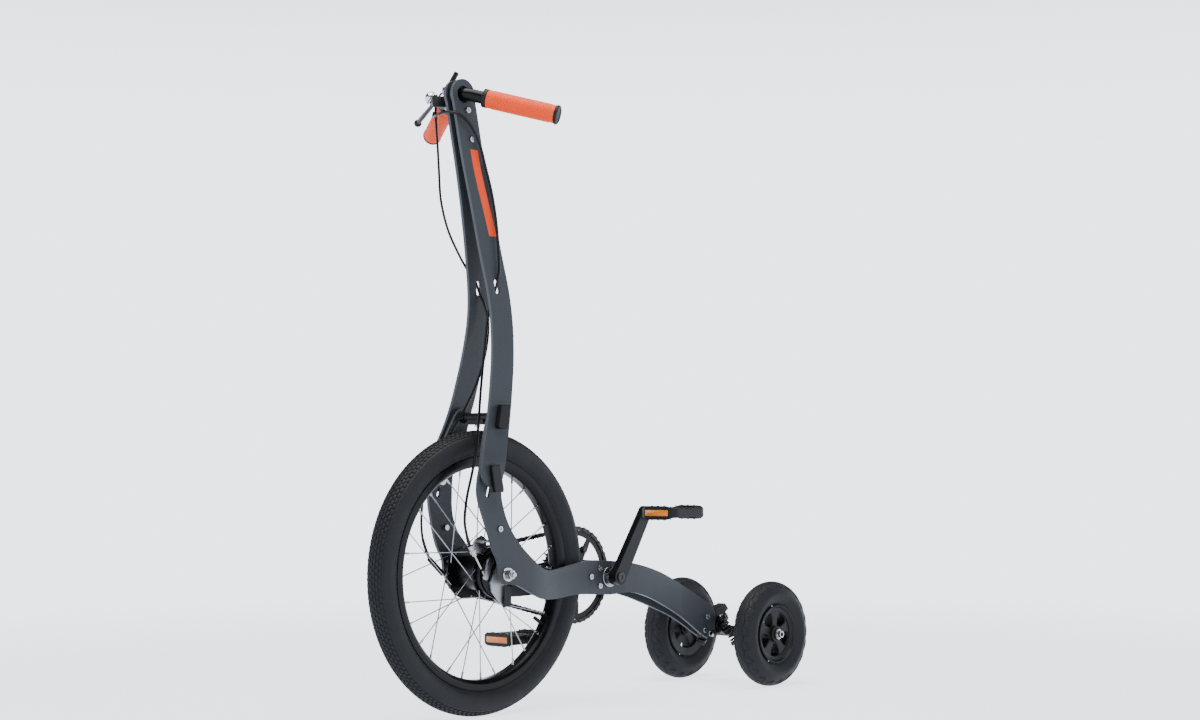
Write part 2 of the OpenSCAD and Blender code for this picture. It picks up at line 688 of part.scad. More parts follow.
spider_turn = 50;
module crank_right() {
  color("#1b1c1e") placed() difference() {
    union() {
      mirror([0, 1, 0]) crank_arm(pedal_b);
      across(-crank_y, -chain_line - 1.3) difference() {
        union() {
          translate(bb) circle(22);
          for (i = [0:4]) taper(bb, 12, bb + 55 * [cos(i * 72 + spider_turn), sin(i * 72 + spider_turn)], 7);
        }
        translate(bb) circle(8.8);
      }
    }
    for (i = [0:4]) pin_y(bb + 55 * [cos(i * 72 + spider_turn), sin(i * 72 + spider_turn)], 4.1, -100, 0);
  }
}

module chainring() {
  color("#1b1c1e") placed() across(-chain_line - 1, -chain_line + 1) difference() {
    union() {
      difference() {
        translate(bb) toothed(ring_teeth, ring_r);
        translate(bb) circle(ring_r - 14);
      }
      for (i = [0:4]) {
        a = i * 72 + spider_turn;
        taper(bb + 55 * [cos(a), sin(a)], 7.5, bb + (ring_r - 10) * [cos(a), sin(a)], 5);
      }
    }
    for (i = [0:4]) translate(bb + 55 * [cos(i * 72 + spider_turn), sin(i * 72 + spider_turn)]) circle(4.1);
  }
}

module crank_bolts() {
  color("silver") placed() {
    for (i = [0:4]) {
      p = bb + 55 * [cos(i * 72 + spider_turn), sin(i * 72 + spider_turn)];
      pin_y(p, 4, -crank_y - 0.5, -chain_line + 1.2);
      pin_y(p, 5.5, -chain_line + 1.1, -chain_line + 2.8);
      pin_y(p, 5.5, -crank_y - 2, -crank_y - 0.1);
    }
    mirror_pair() difference() {
      pin_y(bb, 9, crank_y + crank_t + 0.1, crank_y + crank_t + 2.5);
      pin_y(bb, 4, crank_y + crank_t + 1, crank_y + crank_t + 5);
    }
  }
}

module pedal_axles() {
  outer = crank_y + crank_t;
  module one(p) {
    pin_y(p, 6.5, crank_y + 0.5, outer + 0.2);
    pin_y(p, 8, outer + 0.1, outer + 4);
    pin_y(p, 5, outer + 3, pedal_y + pedal_w - 6);
  }
  color("silver") placed() {
    one(pedal_a);
    mirror([0, 1, 0]) one(pedal_b);
  }
}

wrap = acos((ring_r - cog_r) / norm(bb - [0, axle_z]));
run_turn = atan2(axle_z - bb[1], -bb[0]);
module chain() {
  a = bb;
  b = [0, axle_z];
  run = norm(b - a) * sin(wrap);
  links = round(run / pitch);
  function tip(c, r, t) = c + r * [cos(t), sin(t)];
  big = [for (i = [0:ring_teeth - 1]) let(t = i * 360 / ring_teeth)
    if (abs(((t - run_turn + 540) % 360) - 180) > wrap - 1) tip(a, ring_r, t)];
  small = [for (i = [0:cog_teeth - 1]) let(t = i * 360 / cog_teeth)
    if (abs(((t - run_turn + 540) % 360) - 180) < wrap + 1) tip(b, cog_r, t)];
  runs = [for (s = [-1, 1], k = [1:links - 1]) let(t = run_turn + s * wrap)
    tip(a, ring_r, t) * (1 - k / links) + tip(b, cog_r, t) * k / links];
  function clear(p) = norm(p - a) > ring_r + 7.3 && norm(p - b) > cog_r + 7.3;
  wrapped = concat(big, small);
  color("#2a2a2c") placed() {
    for (p = concat(wrapped, [for (q = runs) if (clear(q)) q]))
      translate([p[0], -chain_line - 1.6, p[1]]) rotate([-90, 0, 0]) cylinder(r = 3.7, h = 3.2, $fn = 10);
    for (y = [-chain_line - 3.2, -chain_line + 1.7]) across(y, y + 1.5) difference() {
      taper(a, ring_r + 4, b, cog_r + 4);
      taper(a, ring_r - 4, b, cog_r - 4);
    }
  }
}

module pedal_body(p) {
  y0 = pedal_y;
  difference() {
    union() {
      difference() {
        translate([p[0] - pedal_l / 2, y0, p[1] - pedal_h / 2]) cube([pedal_l, pedal_w, pedal_h]);
        for (s = [0, 1]) translate([p[0] - pedal_l / 2 + 13 + s * (pedal_l / 2 - 2), y0 + 9, p[1] - 50])
          cube([pedal_l / 2 - 24, pedal_w - 18, 100]);
      }
      pin_y(p, 10, y0 - 3, y0 + pedal_w - 2);
    }
    pin_y(p, 5 + run_gap, y0 - 10, y0 + pedal_w - 5);
    for (s = [-1, 1]) translate([p[0] + s * (pedal_l / 2) - 3, y0 + pedal_w / 2 - 29, p[1] - 7])
      cube([6, 58, 14]);
  }
}

module pedal_reflectors(p) {
  for (s = [-1, 1]) translate([p[0] + s * (pedal_l / 2 - 1.4) - 1.5, pedal_y + pedal_w / 2 - 28.8, p[1] - 6.8])
    cube([3, 57.6, 13.6]);
}

module pedal_left() {
  color("#1b1c1e") placed() pedal_body(pedal_a);
  color("orange") placed() pedal_reflectors(pedal_a);
}

module pedal_right() {
  color("#1b1c1e") placed() mirror([0, 1, 0]) pedal_body(pedal_b);
  color("orange") placed() mirror([0, 1, 0]) pedal_reflectors(pedal_b);
}

// ---- Mast ----
mast_bolt_points = [[32, 1068], [23, 1018]];
module mast_plate() {
  difference() {
    intersection() {
      across(0, 100) union() {
        polygon(band(smooth_open(mast_line, 3), mast_w / 2, -mast_w / 2));
        translate(mast_line[0]) circle(mast_w / 2);
        translate(head) circle(head_r);
      }
      translate([-90, 0, 0]) rotate([90, 0, 90]) linear_extrude(200)
        polygon(band(smooth_open(side_line, 3), fold_gap / 2 + plate_t, fold_gap / 2));
    }
    pin_y(fold, 6 + seat_gap, 0, 100);
    pin_y(head, 15, 0, 100);
    for (p = mast_bolt_points) pin_y(p, bolt_r + bolt_gap, 0, 100);
    across(0, 100) taper([-22.5, 768], 6, [-24.5, 753], 6);
  }
}

module mast_plate_left() {
  color("#565b62") placed() mast_plate();
}

module mast_plate_right() {
  color("#565b62") placed() mirror([0, 1, 0]) mast_plate();
}

module mast_spacers() {
  half = head_gap / 2 - seat_gap;
  color("#1d1e20") placed() {
    turned(head, [[bar_r + seat_gap, -half], [22, -half], [22, half], [bar_r + seat_gap, half]]);
    for (p = mast_bolt_points) difference() {
      pin_y(p, 7, -half, half);
      pin_y(p, bolt_r + bolt_gap, -20, 20);
    }
  }
}

module mast_bolts() {
  y = head_gap / 2 + plate_t;
  color("silver") placed() for (p = mast_bolt_points) {
    pin_y(p, bolt_r, -y - 0.3, y + 0.3);
    mirror_pair() difference() {
      pin_y(p, bolt_head_r, y + 0.1 + (p[1] < 1030 ? 0.6 : 0), y + 3.2);
      pin_y(p, 1.8, y + 1.6, y + 5);
    }
  }
}

fold_in = half_hub - 7.7 - fold_gap / 2 - plate_t;
fold_out = half_hub - 7.7 + fold_gap / 2 + plate_t;
module fold_pins() {
  color("silver") placed() mirror_pair() difference() {
    union() {
      pin_y(fold, 6, fold_in - 1, fold_out + 0.2);
      pin_y(fold, 9, fold_in - 4.5, fold_in - 0.3);
    }
    pin_y(fold, 3, fold_in - 6, fold_in - 2);
  }
}

module fold_hooks() {
  color("#5a5e64") placed() mirror_pair() intersection() {
    across(50, 70) polygon([[-19, 550], [3, 550], [16, 512], [12, 508], [-4, 508], [-8, 512]]);
    translate([-40, 0, 0]) rotate([90, 0, 90]) linear_extrude(80) polygon([[59.5, 505],
      [69.2, 510], [64, 549], [60, 552], [53, 552]]);
  }
}

module fold_latches() {
  color("#18191b") placed() mirror_pair() across(fold_out + 0.3, fold_out + 8)
    polygon([[26, 445], [44, 445], [46, 440], [38, 397], [18, 397], [17, 402]]);
}

// ---- Handlebar and controls ----
module on_arm(s) {
  translate(elbow + s * bar_dir) rotate([0, 90 + bar_drop, 90 + bar_sweep]) children();
}

bar_end = grip_start + grip_len + 3;
module handlebar() {
  color("#18191b") placed() {
    pin_y(head, bar_r, -elbow[1], elbow[1]);
    mirror_pair() difference() {
      union() {
        translate(elbow) sphere(bar_r);
        on_arm(0) cylinder(r = bar_r, h = bar_end);
      }
      on_arm(14) cylinder(r = bar_r - 2, h = bar_end);
    }
  }
}

module grips() {
  color("#e8581c") placed() mirror_pair() on_arm(grip_start) rotate_extrude() polygon([
    [bar_r + seat_gap, 0], [grip_r - 0.5, 0], [grip_r, 1.5], [grip_r - 0.8, grip_len / 2],
    [grip_r, grip_len - 2], [grip_r - 0.6, grip_len], [bar_r + seat_gap, grip_len]]);
}

module grip_ends() {
  color("#141416") placed() mirror_pair() {
    on_arm(grip_start - 7) rotate_extrude() polygon([[bar_r + seat_gap, 0], [grip_r - 2, 0],
      [grip_r, 1.2], [grip_r + 0.4, 6.8], [bar_r + seat_gap, 6.8]]);
    on_arm(bar_end - 3 + seat_gap) rotate_extrude() polygon([[bar_r + seat_gap, 0], [grip_r, 0],
      [grip_r, 4.5], [grip_r - 2, 6.5], [0, 6.5], [0, 3.2], [bar_r + seat_gap, 3.2]]);
  }
}

// Local axes on an arm: Z runs outwards along the bar, -Y is forward and -X is up
module on_right_arm(s) {
  mirror([0, 1, 0]) on_arm(s) children();
}

clamp_s = 6;
lever_pivot = [10, -31, 10];
module lever_clamp() {
  color("#18191b") placed() on_right_arm(clamp_s) difference() {
    union() {
      cylinder(r = bar_r + 4, h = 11);
      translate([-2, -36, 0]) cube([20, 24, 3.2]);
      translate([-2, -36, 0]) cube([4, 36, 11]);
      translate([-2, -24, 0]) cube([20, 10, 11]);
    }
    translate([0, 0, -1]) cylinder(r = bar_r + seat_gap, h = 40);
    translate([lever_pivot[0] - 30, lever_pivot[1], lever_pivot[2] - 1]) rotate([0, 90, 0])
      cylinder(r = 2.5 + seat_gap, h = 60);
  }
  color("silver") placed() on_right_arm(clamp_s) translate([-3.5, lever_pivot[1], lever_pivot[2] - 1])
    rotate([0, 90, 0]) cylinder(r = 2.5, h = 17);
}

module brake_lever() {
  color("#18191b") placed() on_right_arm(clamp_s) difference() {
    union() {
      translate([2.4, lever_pivot[1], lever_pivot[2] - 1]) rotate([0, 90, 0]) cylinder(r = 5, h = 9);
      translate([2.4, 0, 0]) rotate([90, 0, 90]) linear_extrude(9)
        polygon([[-36, 9], [-27, 10], [-29, 30], [-34, 60], [-38, 95], [-45, 95], [-41, 60], [-37, 30]]);
      translate([6.9, -41.5, 97]) sphere(7);
    }
    translate([-30, lever_pivot[1], lever_pivot[2] - 1]) rotate([0, 90, 0])
      cylinder(r = 2.5 + run_gap, h = 60);
  }
}

shift_pivot = [27.5, -45];
module shifter_body() {
  color("#b4b7ba") placed() {
    difference() {
      union() {
        on_right_arm(20) cylinder(r = bar_r + 3.5, h = 12);
        translate([shift_pivot[0], shift_pivot[1], 1092]) cylinder(r = 5, h = 14);
        translate([shift_pivot[0], shift_pivot[1], 1104]) cylinder(r = 9.5, h = 6);
      }
      on_right_arm(-20) cylinder(r = bar_r + seat_gap, h = 100);
    }
    translate([shift_pivot[0], shift_pivot[1], 1109]) cylinder(r = 3, h = 7);
  }
}

module shift_lever() {
  color("#18191b") placed() difference() {
    union() {
      translate([shift_pivot[0], shift_pivot[1], 1110.3]) cylinder(r = 9, h = 5.4);
      rod([27, -43, 1114], [13, -36, 1143], 4.6);
    }
    translate([shift_pivot[0], shift_pivot[1], 1100]) cylinder(r = 3 + run_gap, h = 16.2);
  }
}

module bell() {
  color("silver") placed() on_right_arm(26) translate([-10, -31, 7]) difference() {
    sphere(11.5);
    translate([0, 0, -20]) cube([30, 30, 10], center = true);
  }
  color("#18191b") placed() on_right_arm(24) translate([-9, -24, 0]) cube([6, 9.6, 6]);
}

module brake_cable() {
  color("#121213") placed() cable(brake_route, 2.4);
}

module shift_cable() {
  color("#121213") placed() cable(shift_route, 2.2);
}

module brake_arm() {
  color("#a9acb0") placed() {
    difference() {
      across(arm_y + 0.1, arm_y + 4) taper(brake_pivot, 7, brake_pull, 5);
      pin_y(brake_pivot, 2.5 + run_gap, 0, 100);
    }
    rod([brake_pull[0] + 2, arm_y + 1, brake_pull[1] + 3], [42.4, 52.5, 260.4], 1.6);
  }
}

frame_plate_left();
frame_plate_right();
fold_strut();
strut_bolts();
bb_shell();
frame_bolts();
bb_cartridge();
front_axle();
axle_nuts();
hub_bearings();
brake_plate();
brake_shoes();
reaction_arm();
arm_clip();
cable_stop();
shift_box();
truck_base();
truck_bolts();
kingpin_bolt();
truck_springs();
front_tyre();
inner_tube();
front_rim();
spokes();
hub_shell();
gear_core();
sprocket();
bb_spindle();
crank_left();
crank_right();
chainring();
crank_bolts();
pedal_axles();
chain();
pedal_left();
pedal_right();
mast_plate_left();
mast_plate_right();
mast_spacers();
mast_bolts();
fold_pins();
fold_hooks();
fold_latches();
handlebar();
grips();
grip_ends();
lever_clamp();
brake_lever();
shifter_body();
shift_lever();
bell();
brake_cable();
shift_cable();
brake_arm();
truck_hanger();
rear_hub_left();
rear_hub_right();
rear_tyre_left();
rear_tyre_right();
rear_axle_nuts();
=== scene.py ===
# %% [markdown]
# # A stand-up three-wheeled cycle
# The frame of this scene is the measured model of the cycle. Every finish and every fine piece is
# made here, in metres, where the measured model says it belongs. Sizes in the cells are in
# millimetres, counted from the point on the ground under the front axle, because that is how a
# cycle maker would measure it.

# %% Load the measured model
import json
from math import asin, atan2, cos, hypot, pi, radians, sin

import bmesh
import bpy
from mathutils import Matrix, Vector
from mathutils.bvhtree import BVHTree

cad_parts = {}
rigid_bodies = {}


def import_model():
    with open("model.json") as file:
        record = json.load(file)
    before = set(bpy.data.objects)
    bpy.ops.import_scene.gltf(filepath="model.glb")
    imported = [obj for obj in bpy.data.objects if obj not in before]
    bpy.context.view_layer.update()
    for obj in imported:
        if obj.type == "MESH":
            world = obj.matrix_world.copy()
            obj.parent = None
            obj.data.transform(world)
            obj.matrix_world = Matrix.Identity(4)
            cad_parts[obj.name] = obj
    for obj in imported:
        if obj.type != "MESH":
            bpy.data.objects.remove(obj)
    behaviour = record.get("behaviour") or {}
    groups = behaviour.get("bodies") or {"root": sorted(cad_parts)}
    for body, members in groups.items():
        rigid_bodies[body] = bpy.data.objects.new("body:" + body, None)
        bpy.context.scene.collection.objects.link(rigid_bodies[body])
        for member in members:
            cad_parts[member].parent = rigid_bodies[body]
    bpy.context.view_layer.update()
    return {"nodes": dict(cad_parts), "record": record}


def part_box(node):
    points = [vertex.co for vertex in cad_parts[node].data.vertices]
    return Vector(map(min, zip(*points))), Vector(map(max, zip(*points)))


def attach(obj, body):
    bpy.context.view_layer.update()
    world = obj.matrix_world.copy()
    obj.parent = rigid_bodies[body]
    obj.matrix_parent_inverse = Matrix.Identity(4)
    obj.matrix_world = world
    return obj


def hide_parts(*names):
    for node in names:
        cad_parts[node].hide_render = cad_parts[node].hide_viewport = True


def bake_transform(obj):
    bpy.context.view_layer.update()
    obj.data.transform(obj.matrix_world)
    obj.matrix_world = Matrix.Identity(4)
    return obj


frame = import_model()
nodes = frame["nodes"]
bodies = frame["record"]["behaviour"]["bodies"]
body_of = {node: body for body, names in bodies.items() for node in names}
slot_of = {part["node"]: part["material_slot"] for part in frame["record"]["subparts"]}

# %% [markdown]
# ## Places
# The front axle is the datum. One function turns a place in millimetres, counted forward, left
# and up from the ground under that axle, into the model's own metres.

# %% Datum and unit helpers
axle_low, axle_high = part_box("front_axle")
DATUM = (axle_low.x + axle_high.x) / 2
MM = 0.001


def place(x, y, z):
    return Vector((DATUM + x * MM, y * MM, z * MM))


AXLE_Z = 253.0  # height of the front axle
REAR = (-694.0, 104.0)  # x and height of the rear axle
TRACK = 232.0  # between the middles of the rear tyres
CRANK = (-299.0, 234.0)  # x and height of the crank axle
CRANK_LEN, CRANK_BACK, CRANK_UP = 142, 0.543, 0.84  # the left crank points back and up at rest
print("front axle at", tuple(round(c, 4) for c in place(0, 0, AXLE_Z)))

# %% [markdown]
# ## Camera
# A long lens, low and to the front left, gives the calm studio look: the wheels stay round and
# the mast stands upright. The lens is shifted up a little in place of tilting the camera.

# %% Camera
CAMERA_AT = (2422.0, 2502.6, 452.5)
CAMERA_YAW, CAMERA_DIP, CAMERA_ROLL = 0.83103, -0.00247, -0.00616
FILM_WIDTH, FOCAL_LENGTH, LENS_RISE = 36.0, 58.83, 0.0791
lens = bpy.data.cameras.new("camera")
lens.sensor_width = FILM_WIDTH
lens.lens = FOCAL_LENGTH
lens.shift_y = LENS_RISE
camera = bpy.data.objects.new("camera", lens)
bpy.context.scene.collection.objects.link(camera)
bpy.context.scene.camera = camera
look = Vector((-sin(CAMERA_YAW) * cos(CAMERA_DIP), -cos(CAMERA_YAW) * cos(CAMERA_DIP), -sin(CAMERA_DIP)))
right = look.cross(Vector((0, 0, 1))).normalized()
up = right.cross(look)
right, up = right * cos(CAMERA_ROLL) + up * sin(CAMERA_ROLL), up * cos(CAMERA_ROLL) - right * sin(CAMERA_ROLL)
camera.matrix_world = Matrix.Translation(place(*CAMERA_AT)) @ Matrix((right, up, -look)).transposed().to_4x4()
print("camera at", tuple(round(c, 3) for c in camera.matrix_world.translation))

# %% [markdown]
# ## How a finish is made
# Every finish is a small tree of nodes. `linear` turns a colour as it is written on screen into
# the light the renderer counts in, and `add` puts one node in a tree with its settings and links.
# `finish` is the common part: a base colour that drifts a little from place to place, a
# roughness that drifts with it, and a fine relief. `edge` paints a highlight: a lighter colour on
# the faces that don't look sideways.

# %% Colour and node helpers
def linear(code):
    """A #rrggbb colour as linear light, with full cover."""
    parts = [int(code[i:i + 2], 16) / 255 for i in (1, 3, 5)]
    return tuple(c / 12.92 if c < 0.04045 else ((c + 0.055) / 1.055) ** 2.4 for c in parts) + (1.0,)


def add(tree, kind, inputs=None, **settings):
    node = tree.nodes.new(kind)
    for key, value in settings.items():
        setattr(node, key, value)
    for key, value in (inputs or {}).items():
        if isinstance(value, bpy.types.NodeSocket):
            tree.links.new(value, node.inputs[key])
        else:
            node.inputs[key].default_value = value
    return node


def deeper(code, much):
    """A colour held down to a share of its own brightness."""
    red, green, blue, whole = linear(code)
    return red * much, green * much, blue * much, whole


# The walls of the studio are very bright, so paints and rubbers are held darker than they look.
PAINT_DEPTH, ORANGE_DEPTH, METAL_DEPTH, SHEEN = 0.29, 0.62, 0.62, 0.16


def finish(name, light, dark, roughness, metallic=0.0, grain=0.6, relief=0.05, drift=40.0, spread=0.06,
           ior=1.5, coat=0.0, coat_roughness=0.1, edge=None, depth=None, stretch=(1, 1, 1)):
    """light and dark are the two ends of the colour's drift; grain and drift are sizes in mm."""
    material = bpy.data.materials.new(name)
    material.use_nodes = True
    tree = material.node_tree
    tree.nodes.clear()
    where = add(tree, "ShaderNodeTexCoord")
    turned = add(tree, "ShaderNodeMapping", {"Vector": where.outputs["Object"], "Scale": stretch})
    slow = add(tree, "ShaderNodeTexNoise", {"Vector": turned.outputs[0], "Scale": 1000 / drift, "Detail": 3.0})
    fine = add(tree, "ShaderNodeTexNoise", {"Vector": turned.outputs[0], "Scale": 1000 / grain, "Detail": 2.0})
    mix = add(tree, "ShaderNodeMix", {"Factor": slow.outputs["Fac"]}, data_type="RGBA")
    deep = depth or (METAL_DEPTH if metallic > 0.5 else PAINT_DEPTH)
    mix.inputs[6].default_value, mix.inputs[7].default_value = deeper(dark, deep), deeper(light, deep)
    colour = mix.outputs[2]
    # edge paints a highlight: faces whose normal doesn't point sideways get a lighter colour
    if edge:
        code, painted_highlight_share = edge
        side = add(tree, "ShaderNodeSeparateXYZ", {"Vector": where.outputs["Normal"]})
        flat = add(tree, "ShaderNodeMath", {0: side.outputs["Y"]}, operation="ABSOLUTE")
        rim = add(tree, "ShaderNodeMapRange", {"Value": flat.outputs[0], "From Min": 0.2, "From Max": 0.75,
                                               "To Min": painted_highlight_share, "To Max": 0.0})
        painted_edge_highlight = add(tree, "ShaderNodeMix", {"Factor": rim.outputs[0], 6: colour}, data_type="RGBA")
        painted_edge_highlight.inputs[7].default_value = deeper(code, deep)
        colour = painted_edge_highlight.outputs[2]
    rough = add(tree, "ShaderNodeMapRange", {"Value": slow.outputs["Fac"], "From Min": 0.3, "From Max": 0.7,
                                             "To Min": max(roughness - spread, 0.02),
                                             "To Max": roughness + spread})
    bump = add(tree, "ShaderNodeBump", {"Height": fine.outputs["Fac"], "Strength": relief, "Distance": 0.0004})
    shader = add(tree, "ShaderNodeBsdfPrincipled", {"Base Color": colour, "Roughness": rough.outputs[0],
                                                    "Normal": bump.outputs[0], "Metallic": metallic, "IOR": ior,
                                                    "Coat Weight": coat, "Coat Roughness": coat_roughness,
                                                    "Specular IOR Level": 0.5 if metallic > 0.5 else SHEEN})
    add(tree, "ShaderNodeOutputMaterial", {"Surface": shader.outputs[0]})
    return material


# %% [markdown]
# ## The finishes of this cycle
# The plates are powder coated in a satin anthracite. A powder coat melts into a skin with a fine
# orange peel and no sharp gloss. The truck and brackets carry the same coat in black. The hub and
# the rim are anodised, which keeps the metal's sheen under the black. Screws are zinc plated,
# all but the black ones of the cranks.

# %% Metals and coats
# a cool dark grey, with a painted highlight: the cut edges of the plates are painted a little lighter than
# their flat sides
anthracite = finish("satin_anthracite_powder_coat", "#4c5157", "#43484e", 0.42, grain=0.9, relief=0.10,
                    drift=120, spread=0.04, edge=("#7b8086", 0.45))
# the same skin in black, with its orange peel a little deeper
black_coat = finish("satin_black_powder_coat", "#1c1d20", "#131416", 0.40, grain=0.8, relief=0.14, drift=60)
# black with some metal left in its sheen, duller and brighter every few centimetres
anodised = finish("black_anodised_aluminium", "#1a1b1e", "#101114", 0.28, metallic=0.35, grain=0.5,
                  relief=0.05, drift=30, spread=0.08)
# less metal in the sheen, and the fine skin of a forging under it
forged = finish("black_anodised_forging", "#1c1d20", "#111214", 0.26, metallic=0.1, grain=0.7, relief=0.10,
                drift=45)
zinc = finish("zinc_plated_steel", "#d3d4d2", "#a6a8aa", 0.26, metallic=1.0, grain=0.4, relief=0.05, drift=9,
              spread=0.1)
stainless = finish("drawn_stainless_steel", "#b9bbbe", "#8d9094", 0.30, metallic=1.0, grain=0.3, relief=0.05,
                   drift=14)
# brown-black, mottled in spots of under a centimetre
dark_steel = finish("oiled_black_steel", "#4a4744", "#2a2826", 0.36, metallic=0.85, grain=0.5, relief=0.08,
                    drift=8, spread=0.12)
cast = finish("bead_blasted_aluminium", "#b4b6b8", "#9c9ea1", 0.46, metallic=0.8, grain=0.5, relief=0.22,
              drift=16)
polished = finish("chrome_plate", "#e8eaec", "#d2d4d8", 0.08, metallic=1.0, grain=0.8, relief=0.01, drift=12,
                  spread=0.04)
print("metals made")

# %% [markdown]
# Tyres are carbon-black rubber, matt with a faint bloom. The grips are coloured silicone rubber.
# Pedals and rear wheels are glass-filled nylon, moulded, with the fine spark texture of the mould.

# %% Rubbers and plastics
tyre_rubber = finish("carbon_black_tyre_rubber", "#303236", "#232528", 0.62, grain=1.1, relief=0.30,
                     drift=35, spread=0.08)
grip_rubber = finish("orange_silicone_rubber", "#f24c08", "#e23c04", 0.52, grain=0.5, relief=0.20, drift=18,
                     spread=0.06, depth=ORANGE_DEPTH)
black_rubber = finish("black_soft_rubber", "#1b1b1d", "#121213", 0.55, grain=0.6, relief=0.18, drift=20)
nylon = finish("moulded_glass_filled_nylon", "#1f2022", "#151617", 0.46, grain=0.5, relief=0.30, drift=25)
sheath = finish("extruded_cable_housing", "#141416", "#0d0d0e", 0.32, grain=0.4, relief=0.03, drift=30)
amber = finish("amber_reflector_acrylic", "#f08a10", "#c05c04", 0.18, grain=2.4, relief=0.9, drift=5,
               spread=0.05, coat=0.6, coat_roughness=0.05, depth=ORANGE_DEPTH)
print("rubbers and plastics made")

FINISH_OF = {}
for material, names in (
        (anthracite, "frame_plate_left frame_plate_right mast_plate_left mast_plate_right"),
        (black_coat, "fold_strut bb_shell brake_plate arm_clip cable_stop truck_base truck_hanger mast_spacers "
                     "fold_hooks fold_latches shift_box"),
        (anodised, "hub_shell front_rim handlebar"),
        (forged, "crank_left crank_right chainring lever_clamp brake_lever shift_lever"),
        (zinc, "strut_bolts frame_bolts axle_nuts truck_bolts kingpin_bolt mast_bolts fold_pins "
               "rear_axle_nuts front_axle hub_bearings pedal_axles bb_spindle"),
        (stainless, "spokes gear_core sprocket brake_arm bb_cartridge"),
        (dark_steel, "chain brake_shoes crank_bolts"),
        (cast, "shifter_body reaction_arm"),
        (polished, "bell"),
        (tyre_rubber, "front_tyre rear_tyre_left rear_tyre_right"),
        (grip_rubber, "grips"),
        (black_rubber, "inner_tube grip_ends truck_springs"),
        (nylon, "rear_hub_left rear_hub_right pedal_left pedal_right"),
        (sheath, "brake_cable shift_cable")):
    for node in names.split():
        FINISH_OF[node] = material
for node, part in nodes.items():
    part.data.materials.clear()
    part.data.materials.append(FINISH_OF[node])
print(len(FINISH_OF), "nodes have a finish")

# %% [markdown]
# ## Making a piece
# `keep` turns an object with modifiers into a plain mesh, gives it the body it rides on and hides
# the measured parts it stands for. `new_piece` makes an object
# from corners and faces, welds it and turns every face outwards.

# %% Piece helpers
scene_objects = bpy.context.scene.collection.objects


def plain(piece):
    """The object with its modifiers worked out into a mesh of its own."""
    graph = bpy.context.evaluated_depsgraph_get()
    mesh = bpy.data.meshes.new_from_object(piece.evaluated_get(graph), preserve_all_data_layers=True,
                                           depsgraph=graph)
    piece.modifiers.clear()
    piece.data = mesh
    return piece


def keep(piece, body, slot, *replaced):
    """Freeze a piece, give it its body and hide the measured nodes it replaces; slot is not used."""
    plain(piece)
    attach(piece, body)
    if replaced:
        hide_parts(*replaced)
    return piece


def stand_for(piece, node):
    return keep(piece, body_of[node], slot_of[node], node)


def smooth_by_angle(mesh, degrees=35):
    mesh.shade_smooth()
    mesh.set_sharp_from_angle(angle=radians(degrees))


def new_piece(name, verts, faces, *materials, degrees=35):
    mesh = bpy.data.meshes.new(name)
    mesh.from_pydata([tuple(v) for v in verts], [], faces)
    for material in materials:
        mesh.materials.append(material)
    work = bmesh.new()
    work.from_mesh(mesh)
    bmesh.ops.remove_doubles(work, verts=work.verts, dist=2e-6)
    bmesh.ops.recalc_face_normals(work, faces=work.faces)
    work.to_mesh(mesh)
    work.free()
    smooth_by_angle(mesh, degrees)
    piece = bpy.data.objects.new(name, mesh)
    scene_objects.link(piece)
    return piece


def quads(rows, columns, rows_close=True, columns_close=True):
    """The faces of a grid of points held row by row; either way it can close on itself."""
    return [(i * columns + j, i * columns + (j + 1) % columns,
             (i + 1) % rows * columns + (j + 1) % columns, (i + 1) % rows * columns + j)
            for i in range(rows if rows_close else rows - 1)
            for j in range(columns if columns_close else columns - 1)]


def strip(columns):
    """The faces between two rings of points."""
    return quads(2, columns, rows_close=False)


def lids(rows, columns):
    """One face over the first ring of points and one over the last."""
    return [tuple(range(columns)), tuple(range((rows - 1) * columns, rows * columns))]


def joined(*shapes):
    """Several (verts, faces) shapes as one."""
    verts, faces = [], []
    for more_verts, more_faces in shapes:
        faces += [tuple(i + len(verts) for i in face) for face in more_faces]
        verts += more_verts
    return verts, faces


def round_edges(piece, radius, sharp=32, segments=3):
    bevel = piece.modifiers.new("round", "BEVEL")
    bevel.width, bevel.segments, bevel.limit_method = radius * MM, segments, "ANGLE"
    bevel.angle_limit = radians(sharp)
    piece.modifiers.new("shade", "WEIGHTED_NORMAL").keep_sharp = True
    return piece


# %% [markdown]
# ## Rounded copies
# Where the measured part already has the right shape, only its edges are too crisp. A cast,
# cut or moulded edge always has a small radius, and that radius is what catches the light. Each
# part is copied, welded, and its edges rounded. A part made of several lumps can give some of
# them another finish.

# %% Islands and rounded copies
def welded(node):
    work = bmesh.new()
    work.from_mesh(nodes[node].data)
    bmesh.ops.remove_doubles(work, verts=work.verts, dist=2e-6)
    return work


def islands(work):
    """The separate lumps of a mesh, as (faces, lowest corner, highest corner)."""
    seen, found = set(), []
    for start in work.faces:
        if start.index in seen:
            continue
        seen.add(start.index)
        stack, lump = [start], []
        while stack:
            face = stack.pop()
            lump.append(face)
            for edge in face.edges:
                for other in edge.link_faces:
                    if other.index not in seen:
                        seen.add(other.index)
                        stack.append(other)
        points = [vert.co for face in lump for vert in face.verts]
        low = Vector([min(p[k] for p in points) for k in range(3)])
        high = Vector([max(p[k] for p in points) for k in range(3)])
        found.append((lump, low, high))
    return found


def lumps(node):
    """The lowest and highest corner of each separate lump of a measured part."""
    work = welded(node)
    found = [(low, high) for _, low, high in islands(work)]
    work.free()
    return found


